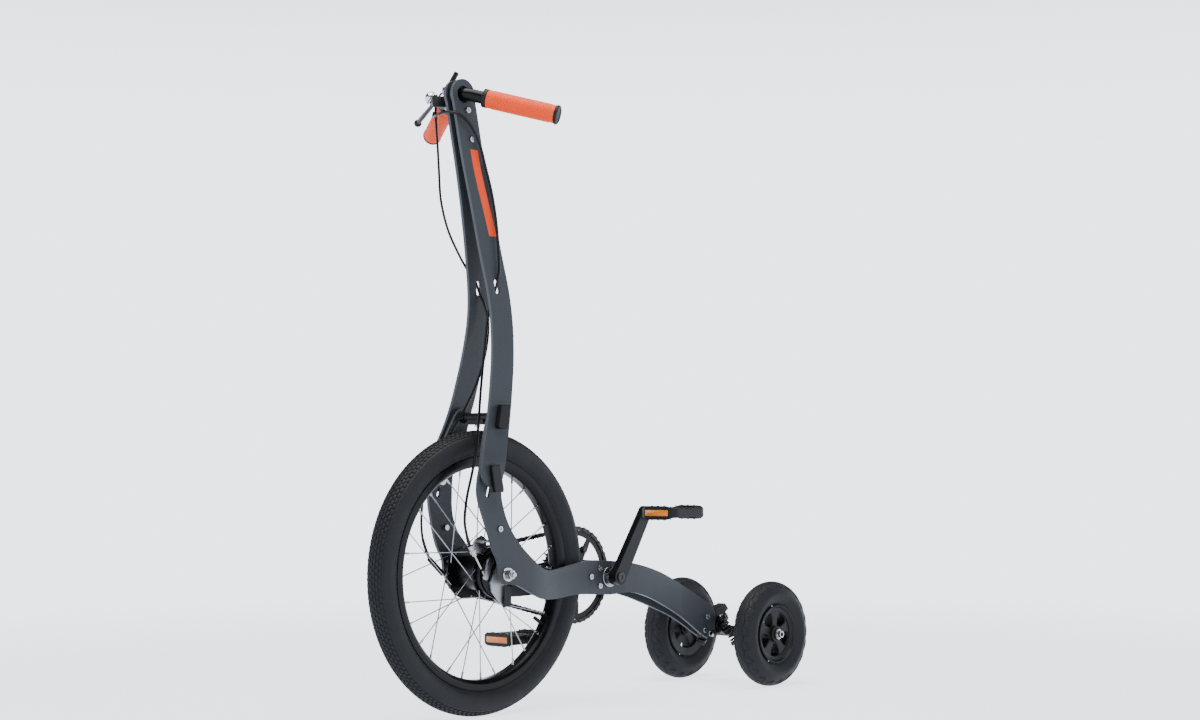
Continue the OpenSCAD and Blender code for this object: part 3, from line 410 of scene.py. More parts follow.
def rounded(node, radius, sharp=32, segments=3, other=None, is_other=None):
    """A copy of a measured part with soft edges; is_other picks the lumps with the other finish."""
    mesh = nodes[node].data.copy()
    mesh.materials.clear()
    mesh.materials.append(FINISH_OF[node])
    work = welded(node)
    if other:
        mesh.materials.append(other)
        for lump, low, high in islands(work):
            for face in lump:
                face.material_index = 1 if is_other(low, high) else 0
    bmesh.ops.dissolve_limit(work, angle_limit=radians(0.6), verts=work.verts, edges=work.edges,
                             delimit={"MATERIAL"})
    work.to_mesh(mesh)
    work.free()
    smooth_by_angle(mesh, sharp)
    piece = bpy.data.objects.new(node + "_rounded", mesh)
    scene_objects.link(piece)
    return stand_for(round_edges(piece, radius, sharp, segments), node)


# radius of the rounded edge of each part, in mm
ROUNDING = {
    "frame_plate_left": 0.9, "frame_plate_right": 0.9, "mast_plate_left": 0.9, "mast_plate_right": 0.9,
    "fold_strut": 1.2, "bb_shell": 1.2, "brake_plate": 0.8, "truck_base": 1.6, "truck_hanger": 1.6,
    "mast_spacers": 0.8, "fold_hooks": 1.0, "fold_latches": 1.4, "shift_box": 0.8, "hub_shell": 0.7,
    "crank_left": 3.0, "crank_right": 1.2, "chainring": 0.35, "lever_clamp": 1.2, "reaction_arm": 1.0,
    "sprocket": 0.3, "bb_cartridge": 0.8, "axle_nuts": 0.5, "rear_axle_nuts": 0.5, "kingpin_bolt": 0.5,
    "front_axle": 0.3, "pedal_axles": 0.5, "shifter_body": 0.8, "shift_lever": 1.2, "crank_bolts": 0.5,
    "fold_pins": 0.5, "truck_bolts": 0.5, "brake_arm": 0.6}
for node, radius in ROUNDING.items():
    rounded(node, radius)
rounded("arm_clip", 0.6, other=zinc, is_other=lambda low, high: high.z - low.z < 12 * MM)
rounded("cable_stop", 0.5, other=zinc, is_other=lambda low, high: high.y - low.y > 5 * MM)
print(len(ROUNDING) + 2, "rounded copies")

# %% [markdown]
# ## Shapes turned on a lathe, and tubes
# A wheel part is a profile turned about its axle. A bar, a cable or a lever is a section that
# follows a path. Both are short loops over rings of points.

# %% Lathe, tube and smooth path
def lathe(profile, x, z, steps=128, closed=True):
    """profile: (radius, y) points, turned about the line y through x, z."""
    n = len(profile)
    verts = [place(x + r * cos(2 * pi * i / steps), y, z + r * sin(2 * pi * i / steps))
             for i in range(steps) for r, y in profile]
    return verts, quads(steps, n, columns_close=closed)


def smooth(points, steps=4):
    """A smooth path through the points."""
    points = [Vector(p) for p in points]
    path = []
    for i in range(len(points) - 1):
        a, b, c, d = points[max(i - 1, 0)], points[i], points[i + 1], points[min(i + 2, len(points) - 1)]
        for k in range(steps):
            t = k / steps
            path.append(0.5 * ((2 * b) + (c - a) * t + (2 * a - 5 * b + 4 * c - d) * t * t
                               + (3 * b - a - 3 * c + d) * t ** 3))
    return path + [points[-1]]


def tube(path, section, start_side=None):
    """section(k) gives the ring of (across, up) points at point k of the path, in mm."""
    path = [Vector(p) for p in path]
    verts, side = [], start_side
    for k, here in enumerate(path):
        ahead = (path[min(k + 1, len(path) - 1)] - path[max(k - 1, 0)]).normalized()
        if side is None:
            side = ahead.orthogonal()
        side = (side - ahead * side.dot(ahead)).normalized()
        over = ahead.cross(side)
        ring = section(k)
        verts += [place(*(here + side * u + over * v)) for u, v in ring]
    n = len(ring)
    return verts, quads(len(path), n, rows_close=False) + lids(len(path), n)


def circle(radius, sides=16):
    return [(radius * cos(2 * pi * i / sides), radius * sin(2 * pi * i / sides)) for i in range(sides)]


def rod(a, b, radius, sides=16):
    return tube([a, b], lambda k: circle(radius, sides))


# %% [markdown]
# ## Patterns with Geometry Nodes
# Tread blocks, spokes, links, screws, coils and hairs repeat by a rule, so a small tree of
# geometry nodes sets them out. `grow` puts a tree on an object, gives it its sizes, and keeps
# the result as a plain mesh.

# %% Tree helpers
def new_tree(name, sizes):
    tree = bpy.data.node_groups.new(name, "GeometryNodeTree")
    tree.interface.new_socket("Geometry", in_out="INPUT", socket_type="NodeSocketGeometry")
    for label, kind in sizes:
        tree.interface.new_socket(label, in_out="INPUT", socket_type="NodeSocket" + kind)
    tree.interface.new_socket("Geometry", in_out="OUTPUT", socket_type="NodeSocketGeometry")
    return tree, add(tree, "NodeGroupInput").outputs


def copies_on(tree, points, part, **more):
    """Copies of a part on points; more holds the other inputs of the node, such as Rotation."""
    source = add(tree, "GeometryNodeObjectInfo", {"Object": part})
    return add(tree, "GeometryNodeInstanceOnPoints", {"Points": points, **more,
                                                      "Instance": source.outputs["Geometry"]})


def close_tree(tree, geometry, material):
    real = add(tree, "GeometryNodeRealizeInstances", {"Geometry": geometry})
    coated = add(tree, "GeometryNodeSetMaterial", {"Geometry": real.outputs[0], "Material": material})
    add(tree, "NodeGroupOutput", {"Geometry": coated.outputs[0]})


def grow(name, tree, sizes, base=None, degrees=35):
    piece = bpy.data.objects.new(name, base or bpy.data.meshes.new(name))
    scene_objects.link(piece)
    modifier = piece.modifiers.new("grow", "NODES")
    modifier.node_group = tree
    for socket in tree.interface.items_tree:
        if socket.in_out == "INPUT" and socket.name in sizes:
            modifier[socket.identifier] = sizes[socket.name]
    plain(piece)
    smooth_by_angle(piece.data, degrees)
    return piece


def pattern_part(name, verts, faces):
    """A small source shape, in metres about its own origin. It is removed after use."""
    return new_piece(name, verts, faces)


def discard(*parts):
    for part in parts:
        bpy.data.objects.remove(part)


# %% The ring tree: copies of one part all round an axle
ring_tree, sizes_in = new_tree("ring_of_parts", [("Part", "Object"), ("Count", "Int"), ("Turn", "Float"),
                                                 ("Centre", "Vector"), ("Finish", "Material")])
dots = add(ring_tree, "GeometryNodePoints", {"Count": sizes_in["Count"]})
number = add(ring_tree, "GeometryNodeInputIndex")
step = add(ring_tree, "ShaderNodeMath", {0: 2 * pi, 1: sizes_in["Count"]}, operation="DIVIDE")
angle = add(ring_tree, "ShaderNodeMath", {0: number.outputs[0], 1: step.outputs[0], 2: sizes_in["Turn"]},
            operation="MULTIPLY_ADD")
turned = add(ring_tree, "ShaderNodeCombineXYZ", {"Y": angle.outputs[0]})
copies = copies_on(ring_tree, dots.outputs[0], sizes_in["Part"], Rotation=turned.outputs[0])
moved = add(ring_tree, "GeometryNodeTransform", {"Geometry": copies.outputs[0],
                                                 "Translation": sizes_in["Centre"]})
close_tree(ring_tree, moved.outputs[0], sizes_in["Finish"])


def ring_of(name, shape, count, centre, material, turn=0.0, degrees=35):
    part = pattern_part(name + "_part", *shape)
    made = grow(name, ring_tree, {"Part": part, "Count": count, "Turn": turn, "Centre": tuple(centre),
                                  "Finish": material}, degrees=degrees)
    discard(part)
    return made


def about_axle(verts):
    """Millimetres about an axle into metres about the origin."""
    return [Vector((x * MM, y * MM, z * MM)) for x, y, z in verts]


# %% [markdown]
# ## Front tyre
# A 20 inch by 2 inch tyre. The casing is a smooth carcass with a bead at the rim; on top sit low
# oblong blocks in staggered columns, in 144 rows a turn, and a row of broader and shorter shoulder
# blocks. The gaps between them are 2 to 3 mm, which is what makes the outline look finely toothed.

# %% Front tyre
TYRE_MID, TYRE_HALF = 228.0, 25.0


def tyre_profile(mid, half, bead, rim_half, tread_low):
    """The outside of a tyre's section, and its inner wall 4.5 mm in. The crown is left low for the blocks."""
    outside = []
    for k in range(-57, 238, 5):
        a = radians(k)
        low = tread_low if 38 < k < 142 else 0.0
        outside.append((mid + (half - low) * sin(a), (half - low) * cos(a)))
    inner = []
    for k in range(237, -58, -14):
        a = radians(k)
        inner.append((mid + (half - 4.5) * sin(a), (half - 4.5) * cos(a)))
    return [(bead, rim_half)] + outside + [(bead, -rim_half)] + inner


carcass_profile = tyre_profile(TYRE_MID, TYRE_HALF, 203.4, 12.6, 1.7)
carcass = new_piece("front_tyre_carcass", *lathe(carcass_profile, 0, AXLE_Z, 192), tyre_rubber, degrees=50)
stand_for(carcass, "front_tyre")


def tread_block(mid, half, sweep, turn, across, along, height, draft=0.6):
    """A block on the tyre at an angle off the crown, with drawn-in sides. All in mm about the axle."""
    verts = []
    for level, shrink in ((-1.0, 0.0), (height - 0.35, draft * 0.6), (height, draft + 0.5)):
        for u, v in ((-1, -1), (1, -1), (1, 1), (-1, 1)):
            a = radians(sweep) + v * (across / 2 - shrink) / half
            radius = mid + (half + level - 1.7) * cos(a)
            y = (half + level - 1.7) * sin(a)
            t = radians(turn) + u * (along / 2 - shrink) / (mid + half)
            verts.append((radius * sin(t), y, radius * cos(t)))
    return verts, [(3, 2, 1, 0), (8, 9, 10, 11)] + quads(3, 4, rows_close=False)


ROWS = 144
pitch = 360 / ROWS
blocks = []
for column, sweep in enumerate((-41, -27.5, -14, 0, 14, 27.5, 41)):
    shoulder = abs(sweep) > 40
    blocks.append(tread_block(TYRE_MID, TYRE_HALF, sweep, pitch / 2 * (column % 2), 5.6 if shoulder else 4.8,
                              7.6 if shoulder else 8.6, 1.65))
verts, faces = joined(*blocks)
tread = ring_of("front_tyre_tread", (about_axle(verts), faces), ROWS, place(0, 0, AXLE_Z), tyre_rubber,
                degrees=50)
keep(tread, "front_wheel", slot_of["front_tyre"])
print("front tyre:", len(tread.data.polygons), "tread faces")

# %% Front tyre sidewall ribs
ribs = [lathe([(TYRE_MID + (TYRE_HALF + h) * sin(radians(a + w)), s * (TYRE_HALF + h) * cos(radians(a + w)))
               for w, h in ((-1.2, -0.3), (-0.7, 0.35), (0.7, 0.35), (1.2, -0.3))], 0, AXLE_Z, 192)
        for a in (-36, 33) for s in (-1, 1)]
sidewall = new_piece("front_tyre_ribs", *joined(*ribs), tyre_rubber)
keep(sidewall, "front_wheel", slot_of["front_tyre"])

# %% [markdown]
# ## Rim, spokes and nipples
# The rim is a double-walled black extrusion with a hooked edge. Each spoke leaves a flange with a
# bent head, crosses its neighbours and enters a nipple at the rim. Four neighbouring spokes, one
# leading and one trailing on each side, repeat seven times.

# %% Rim
rim_profile = [(206.4, 15.5), (206.9, 14.6), (206.4, 13.6), (203.2, 13.4), (203, 8.5), (199, 6.5), (199, -6.5),
               (203, -8.5), (203.2, -13.4), (206.4, -13.6), (206.9, -14.6), (206.4, -15.5), (197, -15.6),
               (194.8, -15.1), (190, -11.5), (188.4, -9), (188, -6), (188, 6), (188.4, 9), (190, 11.5),
               (194.8, 15.1), (197, 15.6)]
rim = new_piece("rim_extrusion", *lathe(rim_profile, 0, AXLE_Z, 192), anodised, degrees=28)
stand_for(rim, "front_rim")

# %% Spokes
SPOKES = 28
FLANGE_R, FLANGE_Y = 44.5, 32.5
SPOKE_R, HEAD_R, RIM_SEAT_R, SEAT_Y = 1.0, 1.9, 187.8, 2.4
NIPPLE = ((12.5, 1.5), (11.9, 1.95), (2.2, 1.95), (1.9, 2.3), (0.4, 2.3))  # (mm from the seat, radius)
step = 360 / SPOKES


def round_the_axle(radius, degrees, y):
    a = radians(degrees)
    return Vector((radius * cos(a), y, radius * sin(a)))


def about_origin_tube(path, section):
    verts, faces = tube(path, section)
    return [v - place(0, 0, 0) for v in verts], faces


spoke_parts, nipple_parts = [], []
for s in (-1, 1):
    for j in (0, 1):
        a = (2 * j + (1 if s > 0 else 0)) * step
        leads = j == 0
        out_y = s * (FLANGE_Y + 4.05 if leads else FLANGE_Y - 3.05)
        in_y = s * (FLANGE_Y - 2.6 if leads else FLANGE_Y + 2.6)
        foot = round_the_axle(FLANGE_R, a + (4 * step if leads else -4 * step), out_y)
        tip = round_the_axle(RIM_SEAT_R, a, s * SEAT_Y)
        along = (tip - foot).normalized()
        elbow = foot + along * 2.2
        head = Vector((foot.x, in_y, foot.z))
        spoke_parts.append(about_origin_tube([head, foot, elbow, tip - along * 9],
                                             lambda k: circle(SPOKE_R, 8)))
        spoke_parts.append(about_origin_tube([head, head + Vector((0, -s if leads else s, 0)) * -0.9],
                                             lambda k: circle(HEAD_R, 10)))
        nipple_parts.append(about_origin_tube([tip - along * d for d, r in NIPPLE],
                                              lambda k: circle(NIPPLE[k][1], 10)))
spokes = ring_of("spokes_laced", joined(*spoke_parts), SPOKES // 4, place(0, 0, AXLE_Z), stainless)
stand_for(spokes, "spokes")
nipples = ring_of("spoke_nipples", joined(*nipple_parts), SPOKES // 4, place(0, 0, AXLE_Z), zinc)
keep(nipples, "front_wheel", slot_of["spokes"])
print("spokes:", len(spokes.data.polygons), "faces")

# %% [markdown]
# ## Rear tyres
# Small pneumatic tyres, 8 inches across, with a wavy tread: the rubber of the crown ends at each
# shoulder in a row of rounded scallops, and two wavy grooves and a thin straight one run round the
# crown. A new tyre also has thin moulding hairs. The tread is a height over the tyre's surface,
# given by a rule.

# %% Rear tyres
REAR_MID, REAR_HALF = 79.0, 25.0
SCALLOPS = 22
TREAD_EDGE, TREAD_DEPTH = 62, 1.9  # degrees off the crown, mm
REAR_BEAD = [(61, 15.6), (58.6, 14.6), (58.6, -14.6), (61, -15.6)]


def ramp(value, low, high):
    t = min(max((value - low) / (high - low), 0.0), 1.0)
    return t * t * (3 - 2 * t)


def tread_height(turn, sweep):
    """Height in mm over the carcass: turn in waves round the tyre, sweep in degrees off the crown."""
    wave = abs((turn % 1.0) * 2 - 1) ** 0.8 * 2 - 1
    small_wave = sin(2 * pi * turn * 2) * 2.2
    edge = 47 + 9 * (wave if sweep > 0 else -wave) + small_wave
    height = TREAD_DEPTH * (1 - ramp(abs(sweep), edge - 2.0, edge + 1.5))
    for middle in (-19, 19):
        groove = abs(sweep - middle - 5.5 * wave)
        height -= 1.6 * (1 - ramp(groove, 1.6, 3.6)) * (1 if abs(sweep) < edge - 5 else 0)
    slot_at = abs(((turn * 2 + (0.25 if sweep > 0 else 0.75)) % 1.0) - 0.5)
    if 27 < abs(sweep) < edge - 2:
        height -= 1.1 * (1 - ramp(slot_at, 0.05, 0.10))
    height -= 1.0 * (1 - ramp(abs(sweep), 0.8, 2.4))
    return max(height, 0.0)


def rear_tyre(name, side, steps=440):
    """Treaded as far as TREAD_EDGE each side of the crown, then a plain wall down to the bead."""
    middle = side * TRACK / 2
    sweeps = [k * 2.6 for k in range(-38, 39)]
    verts = []
    for i in range(steps):
        t = 2 * pi * i / steps
        section = []
        for sweep in sweeps:
            if abs(sweep) < TREAD_EDGE:
                half = REAR_HALF + (tread_height(i / steps * SCALLOPS, sweep) - TREAD_DEPTH)
            else:
                half = REAR_HALF - TREAD_DEPTH * (1 - ramp(abs(sweep), 66, 90))
            section.append((REAR_MID + half * cos(radians(sweep)), half * sin(radians(sweep))))
        for r, y in section + REAR_BEAD:
            verts.append(place(REAR[0] + r * cos(t), middle + y, REAR[1] + r * sin(t)))
    return new_piece(name, verts, quads(steps, len(sweeps) + len(REAR_BEAD)), tyre_rubber, degrees=60)


for side, word in ((1, "left"), (-1, "right")):
    tyre = stand_for(rear_tyre("rear_tyre_" + word + "_tread", side), "rear_tyre_" + word)
    print("rear tyre", word, len(tyre.data.polygons), "faces")

# %% [markdown]
# A few moulding hairs are scattered over the shoulders by geometry nodes, with a fixed seed. They
# are as thin as a bristle and a few millimetres long.

# %% Moulding hairs
HAIR_BAND, HAIR_SINK = (38, 43), 1.2  # degrees off the crown, and mm below the tyre's round
hair_tree, sizes_in = new_tree("scattered_hairs", [("Hair", "Object"), ("Density", "Float"), ("Seed", "Int"),
                                                   ("Finish", "Material")])
spread = add(hair_tree, "GeometryNodeDistributePointsOnFaces", {"Mesh": sizes_in["Geometry"],
                                                                "Density": sizes_in["Density"],
                                                                "Seed": sizes_in["Seed"]})
copies = copies_on(hair_tree, spread.outputs["Points"], sizes_in["Hair"], Rotation=spread.outputs["Rotation"])
close_tree(hair_tree, copies.outputs[0], sizes_in["Finish"])
hair_verts = [Vector((r * cos(a) * MM, r * sin(a) * MM, z * MM)) for r, z in ((0.42, -0.5), (0.3, 5.5))
              for a in (0, 2.1, 4.2)]
hair = pattern_part("hair_part", hair_verts, [(0, 1, 4, 3), (1, 2, 5, 4), (2, 0, 3, 5), (2, 1, 0), (3, 4, 5)])
for side, word in ((1, "left"), (-1, "right")):
    bands = []
    for s in (1, -1):
        edges = [(REAR_MID + REAR_HALF * cos(radians(a)) - HAIR_SINK,
                  side * TRACK / 2 + s * REAR_HALF * sin(radians(a))) for a in HAIR_BAND]
        bands.append(lathe(edges, *REAR, steps=64, closed=False))
    shoulder = new_piece("hair_ground", *joined(*bands), tyre_rubber)
    hairs = grow("rear_tyre_" + word + "_hairs", hair_tree, {"Hair": hair, "Density": 3200.0, "Seed": 5 + side,
                                                          "Finish": black_rubber}, base=shoulder.data)
    discard(shoulder)
    keep(hairs, "rear_wheel_" + word, slot_of["rear_tyre_" + word])
    print("hairs", word, len(hairs.data.polygons) // 5)
discard(hair)

# %% [markdown]
# ## Rear wheel centres
# Each rear wheel is a moulded nylon disc with five windows and a bearing in the middle. The
# outline is drawn flat and thickened, as a mould maker would, and its edges are rounded. The rim
# barrel and the boss are turned.

# %% Rear wheel centres
def window(centre_turn, steps=7):
    """One window between two spokes, in degrees and mm about the axle, drawn as a rounded sector."""
    outline = []
    for radius, half, order in ((43.5, 25.5, 1), (18.5, 17.0, -1)):
        for k in range(steps):
            outline.append((radius, centre_turn + order * (2 * k / (steps - 1) - 1) * half))
    soft = []
    for k, (radius, turn) in enumerate(outline):
        before, after = outline[k - 1], outline[(k + 1) % len(outline)]
        soft.append((0.5 * radius + 0.25 * (before[0] + after[0]), 0.5 * turn + 0.25 * (before[1] + after[1])))
    return [(r * cos(radians(t)), r * sin(radians(t))) for r, t in soft]


def disc_with_holes(name, rings, thickness, bevel):
    """rings: the outer outline, then the holes, as (x, z) points about the axle."""
    curve = bpy.data.curves.new(name, "CURVE")
    curve.dimensions, curve.fill_mode = "2D", "BOTH"
    curve.extrude, curve.bevel_depth, curve.bevel_resolution, curve.offset = (
        (thickness / 2 - bevel) * MM, bevel * MM, 2, -bevel * MM)
    for points in rings:
        line = curve.splines.new("POLY")
        line.points.add(len(points) - 1)
        for dot, (x, z) in zip(line.points, points):
            dot.co = (x * MM, z * MM, 0, 1)
        line.use_cyclic_u = True
    flat = bpy.data.objects.new(name, curve)
    scene_objects.link(flat)
    graph = bpy.context.evaluated_depsgraph_get()
    mesh = bpy.data.meshes.new_from_object(flat.evaluated_get(graph))
    bpy.data.objects.remove(flat)
    return mesh


def ring_points(radius, steps=96):
    return [(radius * cos(2 * pi * i / steps), radius * sin(2 * pi * i / steps)) for i in range(steps)]


def stood_up(mesh, x, y, z):
    """A flat mesh turned from the bench onto its axle, facing along y."""
    upright = Matrix(((1, 0, 0, 0), (0, 0, 1, 0), (0, 1, 0, 0), (0, 0, 0, 1)))
    mesh.transform(Matrix.Translation(place(x, y, z)) @ upright)
    mesh.flip_normals()
    return mesh


for side, word in ((1, "left"), (-1, "right")):
    middle = side * TRACK / 2
    disc = disc_with_holes("disc", [ring_points(54.0)] + [window(18 + 36 + 72 * k) for k in range(5)]
                           + [ring_points(4.99, 32)], 22, 1.8)
    stood_up(disc, REAR[0], middle, REAR[1])
    disc.materials.clear()
    disc.materials.append(nylon)
    smooth_by_angle(disc, 40)
    centre = bpy.data.objects.new("rear_wheel_centre_" + word, disc)
    scene_objects.link(centre)
    centre.modifiers.new("shade", "WEIGHTED_NORMAL")
    stand_for(centre, "rear_hub_" + word)
    barrel_profile = [(41.5, -17), (56.8, -18.8), (58.2, -17.6), (58.2, -16), (53, -13), (53, 13), (58.2, 16),
                      (58.2, 17.6), (56.8, 18.8), (55, 18.6), (52, 14.5), (49, 13.2), (45.6, 12.4), (45.6, 9),
                      (50, 8), (50, -8), (45.6, -9), (41.5, -12.4)]
    boss_profile = [(5.0, 20.8), (10.5, 20.8), (11.4, 20.0), (11.8, 17.4), (15.4, 16.6), (16, 15.8), (16.2, 11),
                    (16.2, -11), (16, -15.8), (15.4, -16.6), (11.8, -17.4), (11.4, -20.0), (10.5, -20.8),
                    (5.0, -20.8)]
    shapes = [lathe([(r, middle + side * y) for r, y in profile], *REAR, steps=96)
              for profile in (barrel_profile, boss_profile)]
    barrel = new_piece("rear_wheel_barrel_" + word, *joined(*shapes), nylon, degrees=30)
    keep(barrel, "rear_wheel_" + word, slot_of["rear_hub_" + word])
    race = [(r, middle + side * y) for r, y in ((5.05, 21), (10.2, 21), (10.2, 19), (5.05, 19))]
    bearing = new_piece("rear_wheel_bearing_" + word, *lathe(race, *REAR, steps=64), zinc)
    keep(bearing, "rear_wheel_" + word, slot_of["rear_hub_" + word])
print("rear wheels made")

# %% [markdown]
# ## Screws
# The screws are button heads with a hexagon socket, zinc plated. The measured model says where
# each head sits and how wide it is; geometry nodes set a detailed head on each, turned outwards.

# %% The screw tree and a screw head
screw_tree, sizes_in = new_tree("screws_on_points", [("Screw", "Object"), ("Finish", "Material")])
facing = add(screw_tree, "GeometryNodeInputNamedAttribute", {"Name": "facing"}, data_type="FLOAT_VECTOR")
width = add(screw_tree, "GeometryNodeInputNamedAttribute", {"Name": "width"}, data_type="FLOAT")
aimed = add(screw_tree, "FunctionNodeAlignRotationToVector", {"Vector": facing.outputs[0]}, axis="Z")
copies = copies_on(screw_tree, sizes_in["Geometry"], sizes_in["Screw"], Scale=width.outputs[0],
                   Rotation=aimed.outputs[0])
close_tree(screw_tree, copies.outputs[0], sizes_in["Finish"])


def spun(profile, sides=24):
    """(radius, height, hexagonal) points turned about z, in metres about the origin."""
    verts, n = [], len(profile)
    for i in range(sides):
        a = 2 * pi * i / sides
        for r, h, hexagonal in profile:
            if hexagonal:
                r = r / cos((a % (pi / 3)) - pi / 6)
            verts.append(Vector((r * cos(a) * MM, r * sin(a) * MM, h * MM)))
    ends = [tuple(i * n for i in range(sides)), tuple(i * n + n - 1 for i in range(sides))]
    return verts, quads(sides, n, columns_close=False) + ends


# a head of radius 1: its height is HEAD_HEIGHT, and the last three points are its socket
HEAD_HEIGHT = 0.55
BUTTON = [(0.5, 0.02, 0), (1.0, 0.02, 0), (1.0, 0.12, 0), (0.93, 0.30, 0), (0.78, 0.46, 0), (0.62, 0.54, 0),
          (0.52, 0.55, 0), (0.44, 0.52, 1), (0.42, 0.46, 1), (0.42, 0.16, 1)]
screw = pattern_part("button_head", *spun(BUTTON))


def aimed_points(name, places, ways, widths):
    """Bare points for the screw tree, each with the way its head faces and its width."""
    heads = bpy.data.meshes.new(name)
    heads.from_pydata(places, [], [])
    for label, kind, field, values in (("facing", "FLOAT_VECTOR", "vector", [c for way in ways for c in way]),
                                       ("width", "FLOAT", "value", widths)):
        heads.attributes.new(label, kind, "POINT").data.foreach_set(field, values)
    return heads


def screws(node, name, facing_of, picked):
    """Heads at the outer ends of a node's lumps."""
    places, ways, widths = [], [], []
    for low, high in lumps(node):
        if not picked(low, high):
            continue
        way = facing_of(low, high)
        middle = (low + high) / 2
        half = (high - low) / 2
        reach = sum(abs(way[k]) * half[k] for k in range(3))
        size = min(half.x, half.z) / MM
        places.append(middle + way * (reach - HEAD_HEIGHT * size * MM))
        ways.append(way)
        widths.append(size)
    heads = aimed_points(name, places, ways, widths)
    made = grow(name, screw_tree, {"Screw": screw, "Finish": zinc}, base=heads)
    keep(made, body_of[node], slot_of[node])
    print(name, len(places))


def outward(low, high):
    """Away from the middle plane of the cycle."""
    return Vector((0, 1 if low.y + high.y > 0 else -1, 0))


# %% Screws on the plates
WIDEST_HEAD = 14


def head_sized(low, high):
    return high.x - low.x < WIDEST_HEAD * MM


for node in ("strut_bolts", "frame_bolts", "mast_bolts"):
    screws(node, node + "_heads", outward, head_sized)
    rounded(node, 0.3)
discard(screw)

# %% [markdown]
# ## Bar, grips and caps
# The bar is one bent tube. It passes through the eyes of the mast and sweeps back and down at
# each side. The grips are moulded silicone with raised slanting ribs, held by a black collar at
# the inner end and a cap at the outer one.

# %% Bar frame
BAR_X, BAR_Z = 41.0, 1095.0
ELBOW = Vector((BAR_X, 17.0, BAR_Z))
SWEEP, DROP = radians(30), radians(15)
BAR_R, GRIP_R, GRIP_START, GRIP_LEN = 11.1, 16.5, 42.0, 125.0
ARM = (Matrix.Rotation(pi / 2 + SWEEP, 3, "Z") @ Matrix.Rotation(pi / 2 + DROP, 3, "Y"))


def on_arm(side, across, ahead, along):
    """A place on a handlebar arm: across is downwards, minus ahead is forwards, along is outwards."""
    spot = ELBOW + ARM @ Vector((across, ahead, along))
    return Vector((spot.x, side * spot.y, spot.z))


def arm_lathe(side, profile, steps=64):
    """(radius, along) points turned about an arm of the bar."""
    verts = []
    for i in range(steps):
        a = 2 * pi * i / steps
        verts += [place(*on_arm(side, r * cos(a), r * sin(a), s)) for r, s in profile]
    return verts, quads(steps, len(profile))


# %% Bar
bar_end = GRIP_START + GRIP_LEN + 2.6
half_bar = [on_arm(1, 0, 0, s) for s in (bar_end, 90, 45, 22, 12)]
bend = [on_arm(1, 0, 0, 5) * 0.75 + Vector((BAR_X, 12, BAR_Z)) * 0.25,
        Vector((BAR_X, 10, BAR_Z)) * 0.8 + on_arm(1, 0, 0, 4) * 0.2]
left_half = half_bar + bend + [Vector((BAR_X, 2, BAR_Z))]
right_half = [Vector((p.x, -p.y, p.z)) for p in reversed(left_half)]
bar_path = smooth(left_half + right_half, 3)
bar = new_piece("bent_bar", *tube(bar_path, lambda k: circle(BAR_R, 32)), anodised)
stand_for(bar, "handlebar")

# %% Grips
def grip_shape(side, steps=96, rows=150):
    """A sleeve with slanting ribs, flared at both ends, and a plain band along its parting lines."""
    verts = []
    for j in range(rows + 1):
        s = j / rows
        flare = 1.0 * (1 - ramp(s, 0.0, 0.035)) + 0.7 * ramp(s, 0.965, 1.0)
        for i in range(steps):
            turn = i / steps
            slant = (s * 22 + abs(((turn * 2) % 1.0) - 0.5) * 3.2) % 1.0
            rib = 0.75 * ramp(0.5 - abs(slant - 0.5), 0.10, 0.22)
            field = ramp(s, 0.06, 0.08) * (1 - ramp(s, 0.92, 0.94))
            plain_band = 1 - ramp(0.5 - abs(((turn * 2) % 1.0) - 0.5), 0.0, 0.02)
            r = GRIP_R - 0.75 + rib * field * (1 - 0.6 * plain_band) + flare * 0.7
            a = 2 * pi * turn
            verts.append(place(*on_arm(side, r * cos(a), r * sin(a), GRIP_START + s * GRIP_LEN)))
    return verts, quads(rows + 1, steps, rows_close=False) + lids(rows + 1, steps)


grips = new_piece("ribbed_grips", *joined(grip_shape(1), grip_shape(-1)), grip_rubber, degrees=60)
stand_for(grips, "grips")
cap = [(0.01, 0.4), (16.4, 0.4), (17.0, 1.2), (17.0, 4.2), (16.2, 5.4), (12, 6.0), (11.2, 5.2), (0.01, 5.0)]
collar = [(BAR_R + 0.1, -9.0), (15.2, -9.0), (16.4, -8.2), (16.6, -1.4), (16.0, -0.3), (BAR_R + 0.1, -0.3)]
caps = [arm_lathe(side, [(r, GRIP_START + GRIP_LEN + s) for r, s in cap]) for side in (1, -1)]
collars = [arm_lathe(side, [(r, GRIP_START + s) for r, s in collar]) for side in (1, -1)]
ends = new_piece("grip_caps_and_collars", *joined(*caps, *collars), black_rubber, degrees=28)
stand_for(ends, "grip_ends")
print("bar and grips made")

# %% [markdown]
# ## Brake lever and bell
# The lever is a forged blade, waisted where the brake cable passes it, with a ball at the tip. The
# bell is a chromed dome on a black foot.

# %% Brake lever
CLAMP_S = 6.0
LEVER_DROP = 6.9
BLADE_LINE = [(-31.2, 9.5), (-31.6, 14), (-32.6, 30), (-36.6, 58), (-40.6, 86), (-41.6, 93)]  # (ahead, along)
BALL_R, BALL_SIDES, BALL_ROWS = 7, 20, 12
blade_path = smooth([on_arm(-1, LEVER_DROP, ahead, CLAMP_S + along) for ahead, along in BLADE_LINE], 6)
across_arm = (on_arm(-1, 1, 0, 0) - on_arm(-1, 0, 0, 0)).normalized()


def bowed(value, power):
    """A value from -1 to 1 pushed out towards its ends, which squares the section off."""
    return abs(value) ** power * (1 if value > 0 else -1)


